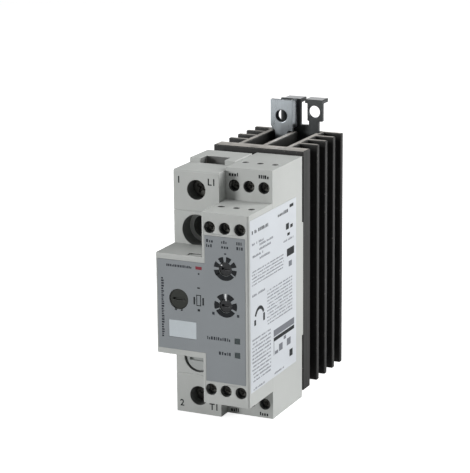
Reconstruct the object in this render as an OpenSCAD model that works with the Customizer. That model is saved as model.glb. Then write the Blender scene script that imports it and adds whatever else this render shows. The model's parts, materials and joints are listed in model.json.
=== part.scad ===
// Solid state relay: a single phase power controller, two modules wide, on a finned heatsink
// that snaps on a 35 mm mounting rail.
// Inside the modules x runs from the left side, y from the front of the nose towards the
// heatsink, and z from the underside. centred() then puts the origin under the middle.
// Pieces that come in pairs are drawn at the lower end and mirrored about mid_z for the upper.

/* [Modules] */
// Width of one module; the relay is two modules wide
module_w = 17.8; // [17.4:0.1:22]
// Clearance between the two housings
module_gap = 0.1; // [0.05:0.05:0.2]
// Height of the housings
body_h = 90.6; // [89:0.2:110]
// Distance from the front of the nose to the back of the housings
body_back = 46.5; // [45.5:0.5:60]
// How far the middle of the front pattern lies below the middle of the housings
mid_drop = 0.6; // [0:0.1:1]
// Wall thickness of the housings
wall = 1.4; // [1.1:0.1:1.6]
// Assembly clearance around pieces that sit in the mouldings
fit_gap = 0.05; // [0.03:0.01:0.1]

/* [Front] */
// Distance from the front of the nose to the power terminal face
power_face = 14.8; // [13.8:0.1:16]
// Distance from the front of the nose to the recessed control terminal face
recess_face = 20.1; // [19.6:0.1:22]
// Height of the nose on the power module
left_nose_h = 36.3; // [32:0.1:37]
// Height of the nose on the control module
right_nose_h = 68.6; // [66:0.1:70]
// Wall thickness of the front cover
cover_wall = 1.3; // [1.1:0.1:1.5]
// Chamfer along the front edges of the nose
nose_chamfer = 0.5; // [0.2:0.1:0.8]
// Thickness of the front overlay film
overlay_t = 0.25; // [0.15:0.05:0.4]
// Bare margin beside the overlay on the control nose
overlay_side = 1.3; // [1:0.1:1.8]
// Bare margin beside the overlay on the power nose
overlay_left = 0.8; // [0.6:0.1:1.4]
// Height of the overlay on the power nose
overlay_left_h = 32.2; // [30:0.1:33]
// Height of the overlay on the control nose
overlay_right_h = 52.2; // [50:0.1:53]
// Rise of the raised block around the cable slot of the power module
rise_h = 0.4; // [0.2:0.1:1]
// Thickness of the side label film
label_t = 0.12; // [0.08:0.02:0.2]

/* [Controls] */
// Radius of a selector knob
selector_r = 2.4; // [2.2:0.1:3]
// Height of the upper selector above the middle of the front pattern
upper_selector_up = 14.9; // [14.2:0.1:15.6]
// Height of the lower selector above the middle of the front pattern
lower_selector_up = 1.8; // [1:0.1:2.4]
// Radius of the trimmer knob
trimmer_r = 3.6; // [3:0.1:4]
// Height of the trimmer above the middle of the front pattern
trimmer_up = 2.2; // [1.4:0.1:3]
// Radial clearance around a turning knob
knob_gap = 0.1; // [0.05:0.01:0.15]
// Side of a square indicator window
window_w = 2; // [1.6:0.1:2.4]
// Width of the marker tag
tag_w = 10.7; // [9:0.1:12]
// Height of the marker tag
tag_h = 6.2; // [5:0.1:7]

/* [Power terminals] */
// Height of the load screw above the underside
power_screw_z = 6.8; // [6.6:0.1:8]
// Radius of the screwdriver hole over a power screw
power_hole_r = 3.55; // [3.5:0.05:3.8]
// Radius of a power screw's head
power_head_r = 3.3; // [3:0.05:3.4]
// Thread radius of a power screw
power_thread_r = 2; // [1.8:0.1:2.2]
// Travel of a power clamp from open to shut
power_travel = 4.4; // [4.2:0.1:4.6]
// Inner width of a power clamp
clamp_in_w = 8.6; // [8.4:0.1:9]
// Wall thickness of a power clamp's sides
clamp_wall = 1; // [0.8:0.1:1.1]
// Height of a power clamp
clamp_h = 8.4; // [7.6:0.1:8.8]
// Thickness of the busbars
busbar_t = 1.3; // [1:0.1:1.4]

/* [Access shafts] */
// Height of the lower access shaft above the underside
shaft_z = 21.3; // [20.8:0.1:22]
// Radius of an access shaft at the front
shaft_r = 5.65; // [5.3:0.05:5.7]
// Radius of an access shaft around the screw's head
shaft_deep_r = 4.2; // [4:0.05:4.3]
// Thread radius of a module screw
module_screw_r = 2; // [1.8:0.1:2.1]

/* [Control terminals] */
// Distance between control terminals
pitch = 5.7; // [5.3:0.05:5.7]
// Radius of the screwdriver hole over a control screw
control_hole_r = 2.1; // [1.9:0.05:2.2]
// Radius of a control screw's head
control_head_r = 1.75; // [1.6:0.05:1.8]
// Thread radius of a control screw
control_thread_r = 1.25; // [1.1:0.05:1.3]
// Height of the control screws above the end of their face
control_screw_z = 5.2; // [5:0.1:5.4]
// Distance of a wire entry behind its terminal face
entry_back = 9.7; // [9.5:0.1:10]
// Radius of a control wire entry
entry_r = 1.3; // [1:0.05:1.4]

/* [Heatsink] */
// Length of the heatsink extrusion
sink_h = 90; // [88:0.5:108]
// Height of the heatsink's lower end above the underside
sink_z = 2; // [1:0.1:2.5]
// Gap between the housings and the heatsink
sink_gap = 1.2; // [1:0.1:1.5]
// Thickness of the heatsink's base
base_t = 6.3; // [5.5:0.1:7]
// Thickness of a fin
fin_t = 2.1; // [1.8:0.1:2.4]
// Distance between fins
fin_pitch = 7.72; // [7:0.1:8.4]
// Distance between the back of the base and the first fin
fin_first = 6.6; // [6:0.1:7]
// Number of fins on each side
fin_count = 4; // [4:1:5]
// Thickness of the webs
web_t = 2.4; // [2:0.1:2.6]
// Distance from the middle to a side web's inner face
web_in = 8.4; // [8.3:0.1:9]

/* [Rail clip] */
// Sheet thickness of the bracket and the latch
sheet_t = 1.5; // [1.2:0.1:1.5]
// Height of the middle of the rail above the underside
rail_z = 45; // [44:0.5:50]
// Height of the mounting rail over its lips
rail_h = 35; // [34.8:0.1:35.2]
// Thickness of the rail's lips
rail_t = 1; // [0.9:0.1:1.1]
// Clearance of the hooks around the rail
rail_gap = 0.2; // [0.15:0.05:0.3]
// Width of the hooks
hook_w = 8; // [7:0.5:9]
// Height of the ears above the heatsink
ear_h = 12.4; // [11:0.2:14]
// Radius of the earth thread
earth_r = 2.3; // [2.1:0.05:2.5]
// Radius of the pull hole in the latch
pull_r = 2.3; // [2:0.05:2.5]
// Travel of the latch
latch_travel = 4; // [3.6:0.1:4.4]

/* [Hidden] */
$fn = 48;

// Overall places
width = 2 * module_w;
power_x = module_w / 2;
control_x = module_w * 1.5;
split_l = module_w - module_gap / 2;
split_r = module_w + module_gap / 2;
mid_z = body_h / 2 - mid_drop;
left_nose_z = mid_z - left_nose_h / 2;
right_nose_z = mid_z - right_nose_h / 2;
cut = 1;
thread_fit = 0.02;

// Rail clip planes
sink_face = body_back + sink_gap;
base_back = sink_face + base_t;
sink_back = base_back + fin_first + fin_t + fin_pitch * (fin_count - 1);
sink_top = sink_z + sink_h;
latch_y = sink_back - 1.1 - sheet_t;
bracket_y = latch_y - 0.2 - sheet_t;
groove_depth = 1;
groove_front = bracket_y - 0.1;
groove_back = latch_y + sheet_t + 0.2;
hook_lip_y = sink_back + rail_t + rail_gap;
hook_back = hook_lip_y + sheet_t;
flange_back = hook_back + 0.5;
total_d = flange_back;
ear_top = sink_top + ear_h;
rail_low = rail_z - rail_h / 2;
rail_high = rail_z + rail_h / 2;

// Power terminal planes
head_y = power_face + 4.5;
head_t = 1.7;
shank_end = head_y + head_t + power_travel + 1.7;
busbar_y = shank_end + 0.1;
busbar_back = busbar_y + busbar_t;
clamp_front_t = 1.4;
clamp_y = busbar_y - 0.2 - clamp_front_t;
wire_back = busbar_back + power_travel + 0.2;
clamp_back = wire_back + clamp_front_t;
lead_x1 = split_l - wall - 0.15;
lead_x0 = lead_x1 - busbar_t;

// Power stack planes, from the heatsink forward
pad_t = 0.3;
plate_back = sink_face - pad_t;
plate_t = 3;
plate_y = plate_back - plate_t;
substrate_t = 0.8;
substrate_y = plate_y - substrate_t;
chip_t = 0.4;
shaft_wall = 0.8;
stack_half_h = mid_z - shaft_z - shaft_deep_r - shaft_wall - 0.5;
plate_z = shaft_z - 5;
module_head_t = 2.4;
trigger_y = power_face + 15.2;
trigger_t = 1.2;
board_t = 1.6;

// Control planes
front_board_y = 8.6;
board_x = split_r + 3.2;
board_x1 = board_x + board_t;
lid_t = 1;
knob_y = overlay_t + 0.15;
knob_t = 2;
stem_r = 1.5;
switch_y = 3.6;
trimmer_x = power_x - 0.05;
selector_x = control_x + 0.15;
tag_x = power_x - tag_w / 2 + 1.35;
tag_z = mid_z - 11.7;
tag_t = 1.2;
window_x = control_x + 4.5;
window_z = [mid_z - 10.4, mid_z - 15.5];

// Control terminal planes, measured from the terminal face and from the screw's axis
c_head_y = 2.3;
c_head_t = 1.6;
c_shank_end = 7.3;
c_clamp_y = 5.5;
c_clamp_back = 12.5;
c_clamp_half_w = 1.75;
c_clamp_half_h = 2.3;
c_contact_y = 7.4;
c_contact_t = 0.8;
block_front = 1.55;
block_back = 13.6;
block_top = 4.6;

// Latch spring
spring_x = width / 2 + 4.8;
spring_y = latch_y + 0.4;
spring_r = 1.55;
spring_wire_r = 0.25;
spring_low = rail_high + 4;
spring_top = spring_low + 14;
spring_coils = 7;
spring_sides = 6;
spring_steps = 16;
spring_window_half = 2.4;

// A box given by its two ends along each axis
module box(x, y, z) {
    translate([x[0], y[0], z[0]])
        cube([x[1] - x[0], y[1] - y[0], z[1] - z[0]]);
}

// Round bars along y, z and x
module bar_y(x, z, y, r) {
    translate([x, y[0], z]) rotate([-90, 0, 0]) cylinder(r = r, h = y[1] - y[0]);
}
module bar_z(x, y, z, r) {
    translate([x, y, z[0]]) cylinder(r = r, h = z[1] - z[0]);
}
module bar_x(y, z, x, r) {
    translate([x[0], y, z]) rotate([0, 90, 0]) cylinder(r = r, h = x[1] - x[0]);
}

// A piece mirrored from the lower end to the upper end
module to_top() {
    translate([0, 0, 2 * mid_z]) mirror([0, 0, 1]) children();
}
module both_ends() {
    children();
    to_top() children();
}
module centred() {
    translate([-width / 2, -total_d / 2, 0]) children();
}

// ---- Heatsink and rail clip ----

module side_fins() {
    fin_in = width / 2 - web_in - web_t;
    for (i = [0 : fin_count - 1])
        translate([0, base_back + fin_first + i * fin_pitch])
            square([fin_in + 0.5, fin_t]);
    translate([fin_in, base_back - 0.5]) square([web_t, sink_back - base_back + 0.5]);
}

module heatsink_profile() {
    difference() {
        union() {
            translate([0, sink_face]) square([width, base_t]);
            side_fins();
            translate([width, 0]) mirror([1, 0]) side_fins();
            translate([width / 2 - web_t / 2, base_back - 0.5])
                square([web_t, groove_front - base_back + 0.5]);
        }
        translate([width / 2 - web_in - groove_depth, groove_front])
            square([2 * (web_in + groove_depth), groove_back - groove_front]);
    }
}

module heatsink() {
    boss_w = 5.6;
    boss_t = 4;
    color([0.13, 0.13, 0.13]) difference() {
        union() {
            translate([0, 0, sink_z]) linear_extrude(sink_h) heatsink_profile();
            box([width / 2 - boss_w / 2, width / 2 + boss_w / 2],
                [groove_front - boss_t, groove_front], [sink_z, sink_top - 10]);
        }
        for (z = bracket_screw_z)
            bar_y(width / 2, z, [groove_front - 6, groove_front + cut], 1.5 + thread_fit);
        both_ends()
            bar_y(power_x, shaft_z, [sink_face - cut, sink_face + 8],
                  module_screw_r + thread_fit);
    }
}

bracket_screw_z = [15, 46];
ear_hole_x = module_w - 4.1;
ear_hole_z = sink_top + 6.2;

// Fixed bracket: a plate in the heatsink's grooves with the lower rail hook, and an ear that is
// joggled forward and carries the earth thread
module rail_bracket() {
    mid = width / 2;
    ear_y = bracket_y - 3.5;
    neck = [module_w - 6.8, module_w - 1.5];
    face = [ear_hole_x - 4.5, ear_hole_x + 4.5];
    step_z = sink_top - 8;
    color([0.78, 0.80, 0.82]) difference() {
        union() {
            box([mid - web_in - groove_depth + 0.1, mid + web_in + groove_depth - 0.1],
                [bracket_y, bracket_y + sheet_t], [0, step_z + sheet_t]);
            box(neck, [ear_y, bracket_y + sheet_t], [step_z, step_z + sheet_t]);
            box(neck, [ear_y, ear_y + sheet_t], [step_z, sink_top + 1]);
            box(face, [ear_y, ear_y + sheet_t], [sink_top + 0.6, ear_top]);
            box([face[1] - sheet_t, face[1]], [ear_y, bracket_y + sheet_t - 0.2],
                [sink_top + 1.6, ear_top]);
            bar_y(ear_hole_x, ear_hole_z, [ear_y, ear_y + sheet_t + 1.6], earth_r + 0.9);
            box([mid - hook_w / 2, mid + hook_w / 2], [bracket_y, hook_back],
                [rail_low - rail_gap - sheet_t, rail_low - rail_gap]);
            box([mid - hook_w / 2, mid + hook_w / 2], [hook_lip_y, hook_back],
                [rail_low - rail_gap - sheet_t, rail_low + 3]);
            box([spring_x - 1.4, spring_x + 1.4], [bracket_y, latch_y + sheet_t + 0.4],
                [spring_top + 0.1, spring_top + 0.1 + sheet_t]);
        }
        bar_y(ear_hole_x, ear_hole_z, [ear_y - cut, bracket_y + sheet_t + cut], earth_r);
        box([spring_x - spring_window_half, spring_x + spring_window_half],
            [bracket_y - cut, bracket_y + sheet_t + cut], [spring_low - 2, spring_top + 0.1]);
        for (z = bracket_screw_z)
            bar_y(mid, z, [bracket_y - cut, bracket_y + sheet_t + cut], 1.65);
        translate([face[0], ear_y - cut, sink_top + 0.6]) rotate([0, 45, 0])
            cube([2.4, 4, 2.4], center = true);
    }
}

// Sliding latch: a plate behind the bracket with the upper rail hook, and two legs with
// finger flanges, one of them with the pull hole
module rail_latch() {
    mid = width / 2;
    plate = [latch_y, latch_y + sheet_t];
    bridge_top = sink_top + 2.4;
    left_leg = [mid - 6.6, mid + 1.6];
    right_leg = [mid + 4.2, mid + 10.4];
    color([0.23, 0.24, 0.24]) difference() {
        union() {
            box([mid - web_in - groove_depth + 0.2, mid + web_in + groove_depth - 0.2], plate,
                [rail_high - 6, sink_top - 1]);
            box([left_leg[0], mid + web_in + 0.4], plate, [sink_top - 2, bridge_top]);
            box(left_leg, plate, [bridge_top - 0.1, ear_top - 0.2]);
            box(right_leg, plate, [bridge_top + 1.6, ear_top - 0.2]);
            box([right_leg[0] + 0.6, right_leg[1] - 1.6], plate,
                [bridge_top - 0.1, bridge_top + 2]);
            box([left_leg[0] + 1, left_leg[1]], [latch_y, flange_back],
                [ear_top - 0.2 - sheet_t, ear_top - 0.2]);
            box([right_leg[0] - 1, right_leg[1]], [latch_y, flange_back],
                [ear_top - 0.2 - sheet_t, ear_top - 0.2]);
            box([mid - hook_w / 2, mid + hook_w / 2], [latch_y, hook_back],
                [rail_high + rail_gap, rail_high + rail_gap + sheet_t]);
            box([mid - hook_w / 2, mid + hook_w / 2], [hook_lip_y, hook_back],
                [rail_high - 3, rail_high + rail_gap + sheet_t]);
        }
        bar_y(mid + 7, ear_hole_z + 1.4, [latch_y - cut, latch_y + sheet_t + cut], pull_r);
        box([spring_x - spring_window_half, spring_x + spring_window_half],
            [latch_y - cut, latch_y + sheet_t + cut],
            [spring_low - 0.1, spring_top + sheet_t + 2.6]);
    }
}

// Helical compression spring between the latch and the bracket's tab, as a swept tube
module latch_spring() {
    steps = spring_coils * spring_steps;
    rise = spring_top - spring_low - 2 * spring_wire_r;
    points = [for (i = [0 : steps], j = [0 : spring_sides - 1])
        let (a = 360 * i / spring_steps, b = 360 * j / spring_sides,
             r = spring_r + spring_wire_r * cos(b))
        [spring_x + r * cos(a), spring_y + r * sin(a),
         spring_low + spring_wire_r + rise * i / steps + spring_wire_r * sin(b)]];
    sides = [for (i = [0 : steps - 1], j = [0 : spring_sides - 1])
        let (k = (j + 1) % spring_sides, n = spring_sides)
        [i * n + j, i * n + k, (i + 1) * n + k, (i + 1) * n + j]];
    first = [for (j = [0 : spring_sides - 1]) spring_sides - 1 - j];
    last = [for (j = [0 : spring_sides - 1]) steps * spring_sides + j];
    color([0.7, 0.71, 0.72]) polyhedron(points, concat(sides, [first, last]));
}

module bracket_screws() {
    color([0.7, 0.71, 0.72]) for (z = bracket_screw_z) difference() {
        union() {
            bar_y(width / 2, z, [bracket_y + sheet_t, bracket_y + sheet_t + 1.6], 2.7);
            bar_y(width / 2, z, [groove_front - 5, bracket_y + sheet_t + 0.1], 1.5);
        }
        bar_y(width / 2, z, [bracket_y + sheet_t + 0.7, bracket_y + sheet_t + 2 + cut], 1.2);
    }
}

// ---- Power module ----

module cross_recess(x, z, y, half, w, depth) {
    box([x - half, x + half], [y - cut, y + depth], [z - w / 2, z + w / 2]);
    box([x - w / 2, x + w / 2], [y - cut, y + depth], [z - half, z + half]);
}

module module_screws() {
    color([0.75, 0.76, 0.78]) both_ends() difference() {
        union() {
            bar_y(power_x, shaft_z, [plate_y - module_head_t, plate_y], 3.8);
            bar_y(power_x, shaft_z, [plate_y - 0.1, sink_face + 7], module_screw_r);
        }
        cross_recess(power_x, shaft_z, plate_y - module_head_t, 2.2, 0.9, 1.3);
    }
}

module access_plug() {
    plug_y = power_face + 0.9;
    color([0.72, 0.73, 0.72]) difference() {
        union() {
            bar_y(power_x, shaft_z, [plug_y, plug_y + 2], shaft_r - 0.35);
            bar_y(power_x, shaft_z, [plug_y + 0.6, plug_y + 5], shaft_r - fit_gap);
        }
        box([power_x - 4, power_x + 4], [plug_y - cut, plug_y + 1.2],
            [shaft_z - 1.7, shaft_z - 0.7]);
        bar_y(power_x, shaft_z, [plug_y + 2.2, plug_y + 5 + cut], shaft_r - 1.3);
    }
}

module power_outline() {
    slot_front = busbar_back - 0.5;
    polygon([[power_face, 0], [power_face, 2 * mid_z - 0.6], [power_face + 0.6, 2 * mid_z],
             [slot_front, 2 * mid_z], [slot_front, body_h + rise_h],
             [body_back - 4, body_h + rise_h], [body_back - 4, 2 * mid_z],
             [body_back, 2 * mid_z], [body_back, 0]]);
}

// Extrudes an outline drawn in y and z along x
module along_x(x) {
    translate([x[0], 0, 0]) rotate([90, 0, 90]) linear_extrude(x[1] - x[0]) children();
}

module shaft_walls() {
    bar_y(power_x, power_screw_z, [power_face + 0.2, head_y + head_t - 0.1],
          power_hole_r + shaft_wall);
    bar_y(power_x, shaft_z, [power_face + 0.2, power_face + 7.2], shaft_r + shaft_wall);
    bar_y(power_x, shaft_z, [power_face + 6, plate_y - 0.2], shaft_deep_r + shaft_wall);
}

module shaft_bores() {
    bar_y(power_x, shaft_z, [power_face - cut, power_face + 6.2], shaft_r);
    bar_y(power_x, shaft_z, [power_face + 6, plate_y], shaft_deep_r);
}

module power_housing() {
    inside_x = [wall, split_l - wall];
    slot_half = clamp_in_w / 2 + 0.5;
    color([0.74, 0.75, 0.74]) difference() {
        union() {
            difference() {
                along_x([0, split_l]) power_outline();
                box(inside_x, [power_face + wall, body_back + cut], [wall, 2 * mid_z - wall]);
            }
            both_ends() intersection() {
                shaft_walls();
                box([wall / 2, split_l - wall / 2], [power_face, body_back], [0, mid_z]);
            }
        }
        both_ends() {
            shaft_bores();
            bar_y(power_x, power_screw_z, [power_face - cut, head_y + head_t], power_hole_r);
            box([power_x - slot_half, power_x + slot_half],
                [busbar_back - 0.5, wire_back + 0.1], [-cut, wall + cut]);
            box([-cut, split_l + cut], [power_face - cut, power_face + 0.25],
                [shaft_z - 6.9, shaft_z - 6.6]);
        }
        box([power_x - slot_half, power_x + slot_half], [busbar_back - 0.6, wire_back + 0.1],
            [2 * mid_z - 2 * wall, body_h + rise_h + cut]);
        box([wall + 0.8, split_l - wall - 0.8], [power_face - cut, power_face + wall + cut],
            [left_nose_z + 4, left_nose_z + left_nose_h - 4]);
        link_window();
    }
}

// Opening in both module walls for the link between the boards
module link_window() {
    box([split_l - wall - cut, split_r + lid_t + cut], [trigger_y + 1, trigger_y + 4.6],
        [mid_z - 4.8, mid_z + 4.8]);
}

module base_plate() {
    color([0.72, 0.45, 0.30]) difference() {
        box([wall + 0.3, split_l - wall - 0.3], [plate_y, plate_back],
            [plate_z, 2 * mid_z - plate_z]);
        both_ends()
            bar_y(power_x, shaft_z, [plate_y - cut, plate_back + cut], module_screw_r + 0.25);
    }
}

module thermal_pad() {
    color([0.55, 0.58, 0.60]) difference() {
        box([wall + 0.3, split_l - wall - 0.3], [plate_back, sink_face],
            [plate_z, 2 * mid_z - plate_z]);
        both_ends()
            bar_y(power_x, shaft_z, [plate_back - cut, sink_face + cut], module_screw_r + 0.5);
    }
}

module ceramic_substrate() {
    color([0.93, 0.93, 0.90])
        box([wall + 1.4, split_l - wall - 0.6], [substrate_y, plate_y],
            [mid_z - stack_half_h, mid_z + stack_half_h]);
}

module thyristor_chips() {
    color([0.35, 0.36, 0.40]) both_ends()
        box([power_x - 4, power_x + 3], [substrate_y - chip_t, substrate_y],
            [mid_z - 9, mid_z - 1.5]);
}

// Busbar from the clamp, around the access shaft, to its foot on the substrate
module power_busbar() {
    tongue = clamp_in_w / 2 - 0.2;
    cross_z = [power_screw_z + clamp_h / 2 + 0.8, power_screw_z + clamp_h / 2 + 3.4];
    foot_z = [mid_z - stack_half_h + 0.3, mid_z - stack_half_h + 4.3];
    lead = [lead_x0, lead_x1];
    color([0.80, 0.50, 0.32]) {
        union() {
            box([power_x - tongue, power_x + tongue], [busbar_y, busbar_back],
                [power_screw_z - clamp_h / 2 - 0.2, cross_z[1]]);
            box([power_x - tongue, lead_x1], [busbar_y, busbar_back], cross_z);
            box(lead, [busbar_y, busbar_y + 9], cross_z);
            box(lead, [busbar_y + 3, busbar_y + 9], [cross_z[0], foot_z[1]]);
            box(lead, [busbar_y + 3, substrate_y], foot_z);
            box([power_x + 0.5, lead_x1], [substrate_y - busbar_t, substrate_y], foot_z);
        }
    }
}

module power_clamp() {
    half = clamp_in_w / 2 + clamp_wall;
    color([0.80, 0.81, 0.82]) difference() {
        box([power_x - half, power_x + half], [clamp_y, clamp_back],
            [power_screw_z - clamp_h / 2, power_screw_z + clamp_h / 2]);
        box([power_x - clamp_in_w / 2, power_x + clamp_in_w / 2],
            [clamp_y + clamp_front_t, wire_back],
            [power_screw_z - clamp_h, power_screw_z + clamp_h]);
        bar_y(power_x, power_screw_z, [clamp_y - cut, clamp_y + clamp_front_t + 0.5],
              power_thread_r + 0.05);
    }
}

module power_screw() {
    color([0.80, 0.81, 0.82]) difference() {
        union() {
            bar_y(power_x, power_screw_z, [head_y, head_y + head_t], power_head_r);
            bar_y(power_x, power_screw_z, [head_y + head_t - 0.1, shank_end], power_thread_r);
        }
        cross_recess(power_x, power_screw_z, head_y, 2.3, 0.9, 1.2);
    }
}

module line_busbar() { to_top() power_busbar(); }
module load_busbar() { power_busbar(); }
module line_clamp() { to_top() power_clamp(); }
module load_clamp() { power_clamp(); }
module line_screw() { to_top() power_screw(); }
module load_screw() { power_screw(); }

module trigger_board() {
    color([0.12, 0.38, 0.22])
        box([wall + 0.4, lead_x0 - 0.5], [trigger_y, trigger_y + trigger_t],
            [mid_z - stack_half_h, mid_z + stack_half_h]);
}

module optocoupler() {
    color([0.12, 0.12, 0.13]) union() {
        box([wall + 2.2, wall + 8.6], [trigger_y - 4, trigger_y - 0.5],
            [mid_z + 4, mid_z + 12.8]);
        for (i = [0 : 2], side = [0, 1])
            box([wall + 1.8 + side * 6.6, wall + 2.4 + side * 6.6], [trigger_y - 2.5, trigger_y],
                [mid_z + 5.6 + i * 2.54, mid_z + 6.1 + i * 2.54]);
    }
}

module snubber_capacitor() {
    color([0.85, 0.68, 0.20])
        box([wall + 1.4, wall + 11.4], [trigger_y + trigger_t, trigger_y + 7.2],
            [mid_z + 5.4, mid_z + 13.4]);
}

module varistor() {
    color([0.16, 0.30, 0.55]) union() {
        bar_x(trigger_y - 6.4, mid_z - 7, [wall + 5, wall + 9], 5);
        for (x = [wall + 5.8, wall + 8.2])
            bar_y(x, mid_z - 7, [trigger_y - 4, trigger_y], 0.4);
    }
}

module gate_pins() {
    color([0.85, 0.74, 0.45]) for (z = [mid_z - 13, mid_z + 2], x = [wall + 1.8, wall + 2.9])
        bar_y(x, z, [trigger_y + trigger_t, substrate_y], 0.35);
}

// ---- Control module ----

function pole_x(i) = control_x + (i - 1) * pitch;

module control_housing() {
    inside = [split_r - cut, width - wall];
    color([0.76, 0.77, 0.76]) difference() {
        union() {
            box([split_r, width], [recess_face, body_back], [0, body_h]);
            box([width - 0.7, width], [body_back - cut, sink_face - 0.2],
                [mid_z - 21, mid_z + 21.5]);
        }
        box(inside, [recess_face + wall, body_back - wall], [wall, body_h - wall]);
        box([split_r - cut, width - wall], [recess_face - cut, recess_face + wall + cut],
            [right_nose_z + cover_wall, right_nose_z + right_nose_h - cover_wall]);
        both_ends() for (i = [0 : 2]) {
            bar_y(pole_x(i), control_screw_z, [recess_face - cut, recess_face + wall + cut],
                  control_hole_r);
            bar_z(pole_x(i), recess_face + entry_back, [-2, wall + cut], entry_r);
        }
        box([width - label_t, width + cut], label_y, label_z);
        link_window();
    }
}

label_y = [1.2, 41];
label_z = [15.4, 77];

module inner_lid() {
    color([0.70, 0.71, 0.70]) difference() {
        box([split_r, split_r + lid_t],
            [recess_face + wall + fit_gap, body_back - wall - fit_gap],
            [wall + fit_gap, body_h - wall - fit_gap]);
        link_window();
    }
}

module control_board() {
    color([0.12, 0.38, 0.22]) union() {
        box([board_x, board_x1], [recess_face + 4, body_back - wall - 0.6],
            [right_nose_z + 6, 2 * mid_z - right_nose_z - 6]);
        box([board_x, board_x1], [recess_face + 14.6, body_back - wall - 0.6],
            [wall + 1, 2 * mid_z - wall - 1]);
    }
}

module front_board() {
    color([0.12, 0.38, 0.22]) union() {
        box([cover_wall + 0.5, control_x], [front_board_y, front_board_y + board_t],
            [left_nose_z + cover_wall + 0.5, left_nose_z + left_nose_h - cover_wall - 0.5]);
        box([split_r + cover_wall + 0.3, width - cover_wall - 0.3],
            [front_board_y, front_board_y + board_t],
            [right_nose_z + 11.2, right_nose_z + right_nose_h - 11.2]);
    }
}

// Right angle header: a block on the front board whose pins reach the control board
module board_header() {
    back = front_board_y + board_t;
    color([0.14, 0.14, 0.15]) union() {
        box([board_x1, board_x1 + 2.5], [back, back + 8.5], [mid_z - 9, mid_z + 9]);
        for (i = [0 : 6])
            box([board_x1, board_x1 + 0.6], [back + 8.4, recess_face + 7],
                [mid_z - 7.9 + i * 2.54, mid_z - 7.3 + i * 2.54]);
    }
}

module link_header() {
    color([0.14, 0.14, 0.15])
        box([power_x + 2.8, board_x], [trigger_y + 1.3, trigger_y + 4.3],
            [mid_z - 4.4, mid_z + 4.4]);
}

module microcontroller() {
    color([0.10, 0.10, 0.11]) union() {
        box([board_x1 + 0.1, board_x1 + 1.5], [recess_face + 9.5, recess_face + 16.5],
            [mid_z - 3.5, mid_z + 3.5]);
        box([board_x1, board_x1 + 0.4], [recess_face + 8.7, recess_face + 17.3],
            [mid_z - 3, mid_z + 3]);
    }
}

module transformer() {
    y = [recess_face + 6, recess_face + 20];
    z = [mid_z + 8, mid_z + 22];
    x = [board_x1, board_x1 + 10];
    color([0.20, 0.18, 0.16]) union() {
        box([x[0] + 1, x[1]], [y[0], y[1]], [z[0], z[0] + 4]);
        box([x[0] + 1, x[1]], [y[0], y[1]], [z[1] - 4, z[1]]);
        box([x[0] + 1, x[1]], [y[0], y[0] + 3], z);
        box([x[0] + 1, x[1]], [y[1] - 3, y[1]], z);
        box([x[0], x[1] - 1], [y[0] + 2, y[1] - 2], [z[0] + 3, z[1] - 3]);
    }
}

module capacitors() {
    color([0.16, 0.17, 0.30]) for (y = [recess_face + 8.5, recess_face + 18.5])
        bar_x(y, mid_z - 12.4, [board_x1, board_x1 + 10.5], 4);
}

module alarm_relay() {
    color([0.92, 0.55, 0.15])
        box([board_x1, board_x1 + 10], [recess_face + 14.6, recess_face + 24],
            [mid_z - 34, mid_z - 17]);
}

// ---- Front cover and what sits in it ----

module nose_outline(x, depth) {
    c = nose_chamfer;
    polygon([[x[0], depth], [x[0], c], [x[0] + c, 0], [x[1] - c, 0], [x[1], c],
             [x[1], depth]]);
}

module front_cover() {
    color([0.74, 0.75, 0.74]) difference() {
        union() {
            translate([0, 0, left_nose_z]) linear_extrude(left_nose_h)
                nose_outline([0, split_r + 2], power_face);
            translate([0, 0, right_nose_z]) linear_extrude(right_nose_h)
                nose_outline([split_r, width], recess_face);
        }
        box([cover_wall, control_x], [cover_wall + 0.2, power_face + cut],
            [left_nose_z + cover_wall, left_nose_z + left_nose_h - cover_wall]);
        box([split_r + cover_wall, width - cover_wall],
            [cover_wall + 0.2, recess_face + cut],
            [right_nose_z + cover_wall, right_nose_z + right_nose_h - cover_wall]);
        box([split_l - 2, split_r + cover_wall + cut], [power_face, recess_face + cut],
            [left_nose_z + cover_wall, left_nose_z + left_nose_h - cover_wall]);
        overlay_film(0, fit_gap);
        box([width - label_t, width + cut], label_y, label_z);
        both_ends() for (i = [0 : 2]) {
            bar_y(pole_x(i), right_nose_z + control_screw_z, [-cut, cover_wall + cut],
                  control_hole_r);
            bar_z(pole_x(i), entry_back, [right_nose_z - cut, right_nose_z + cover_wall + cut],
                  entry_r);
        }
        for (up = [upper_selector_up, lower_selector_up])
            bar_y(selector_x, mid_z + up, [-cut, cover_wall + cut], selector_r + knob_gap);
        bar_y(trimmer_x, mid_z + trimmer_up, [-cut, cover_wall + cut], trimmer_r + knob_gap);
        for (z = window_z)
            square_hole(window_x, z, window_w / 2 + fit_gap, [-cut, cover_wall + cut]);
        box([tag_x - fit_gap, tag_x + tag_w + fit_gap], [-cut, tag_t + 2 * fit_gap],
            [tag_z - fit_gap, tag_z + tag_h + fit_gap]);
        box([power_x + 2.6, power_x + 7.4], [1.4, 4.4],
            [left_nose_z + left_nose_h - 0.7, left_nose_z + left_nose_h + cut]);
    }
}

module square_hole(x, z, half, y) {
    box([x - half, x + half], y, [z - half, z + half]);
}

module overlay_film(front, grow) {
    left = [overlay_left - grow, control_x];
    right = [split_r + overlay_side - grow, width - overlay_side + grow];
    box(left, [front - (grow > 0 ? cut : 0), overlay_t + grow],
        [mid_z - overlay_left_h / 2 - grow, mid_z + overlay_left_h / 2 + grow]);
    box(right, [front - (grow > 0 ? cut : 0), overlay_t + grow],
        [mid_z - overlay_right_h / 2 - grow, mid_z + overlay_right_h / 2 + grow]);
}

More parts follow.
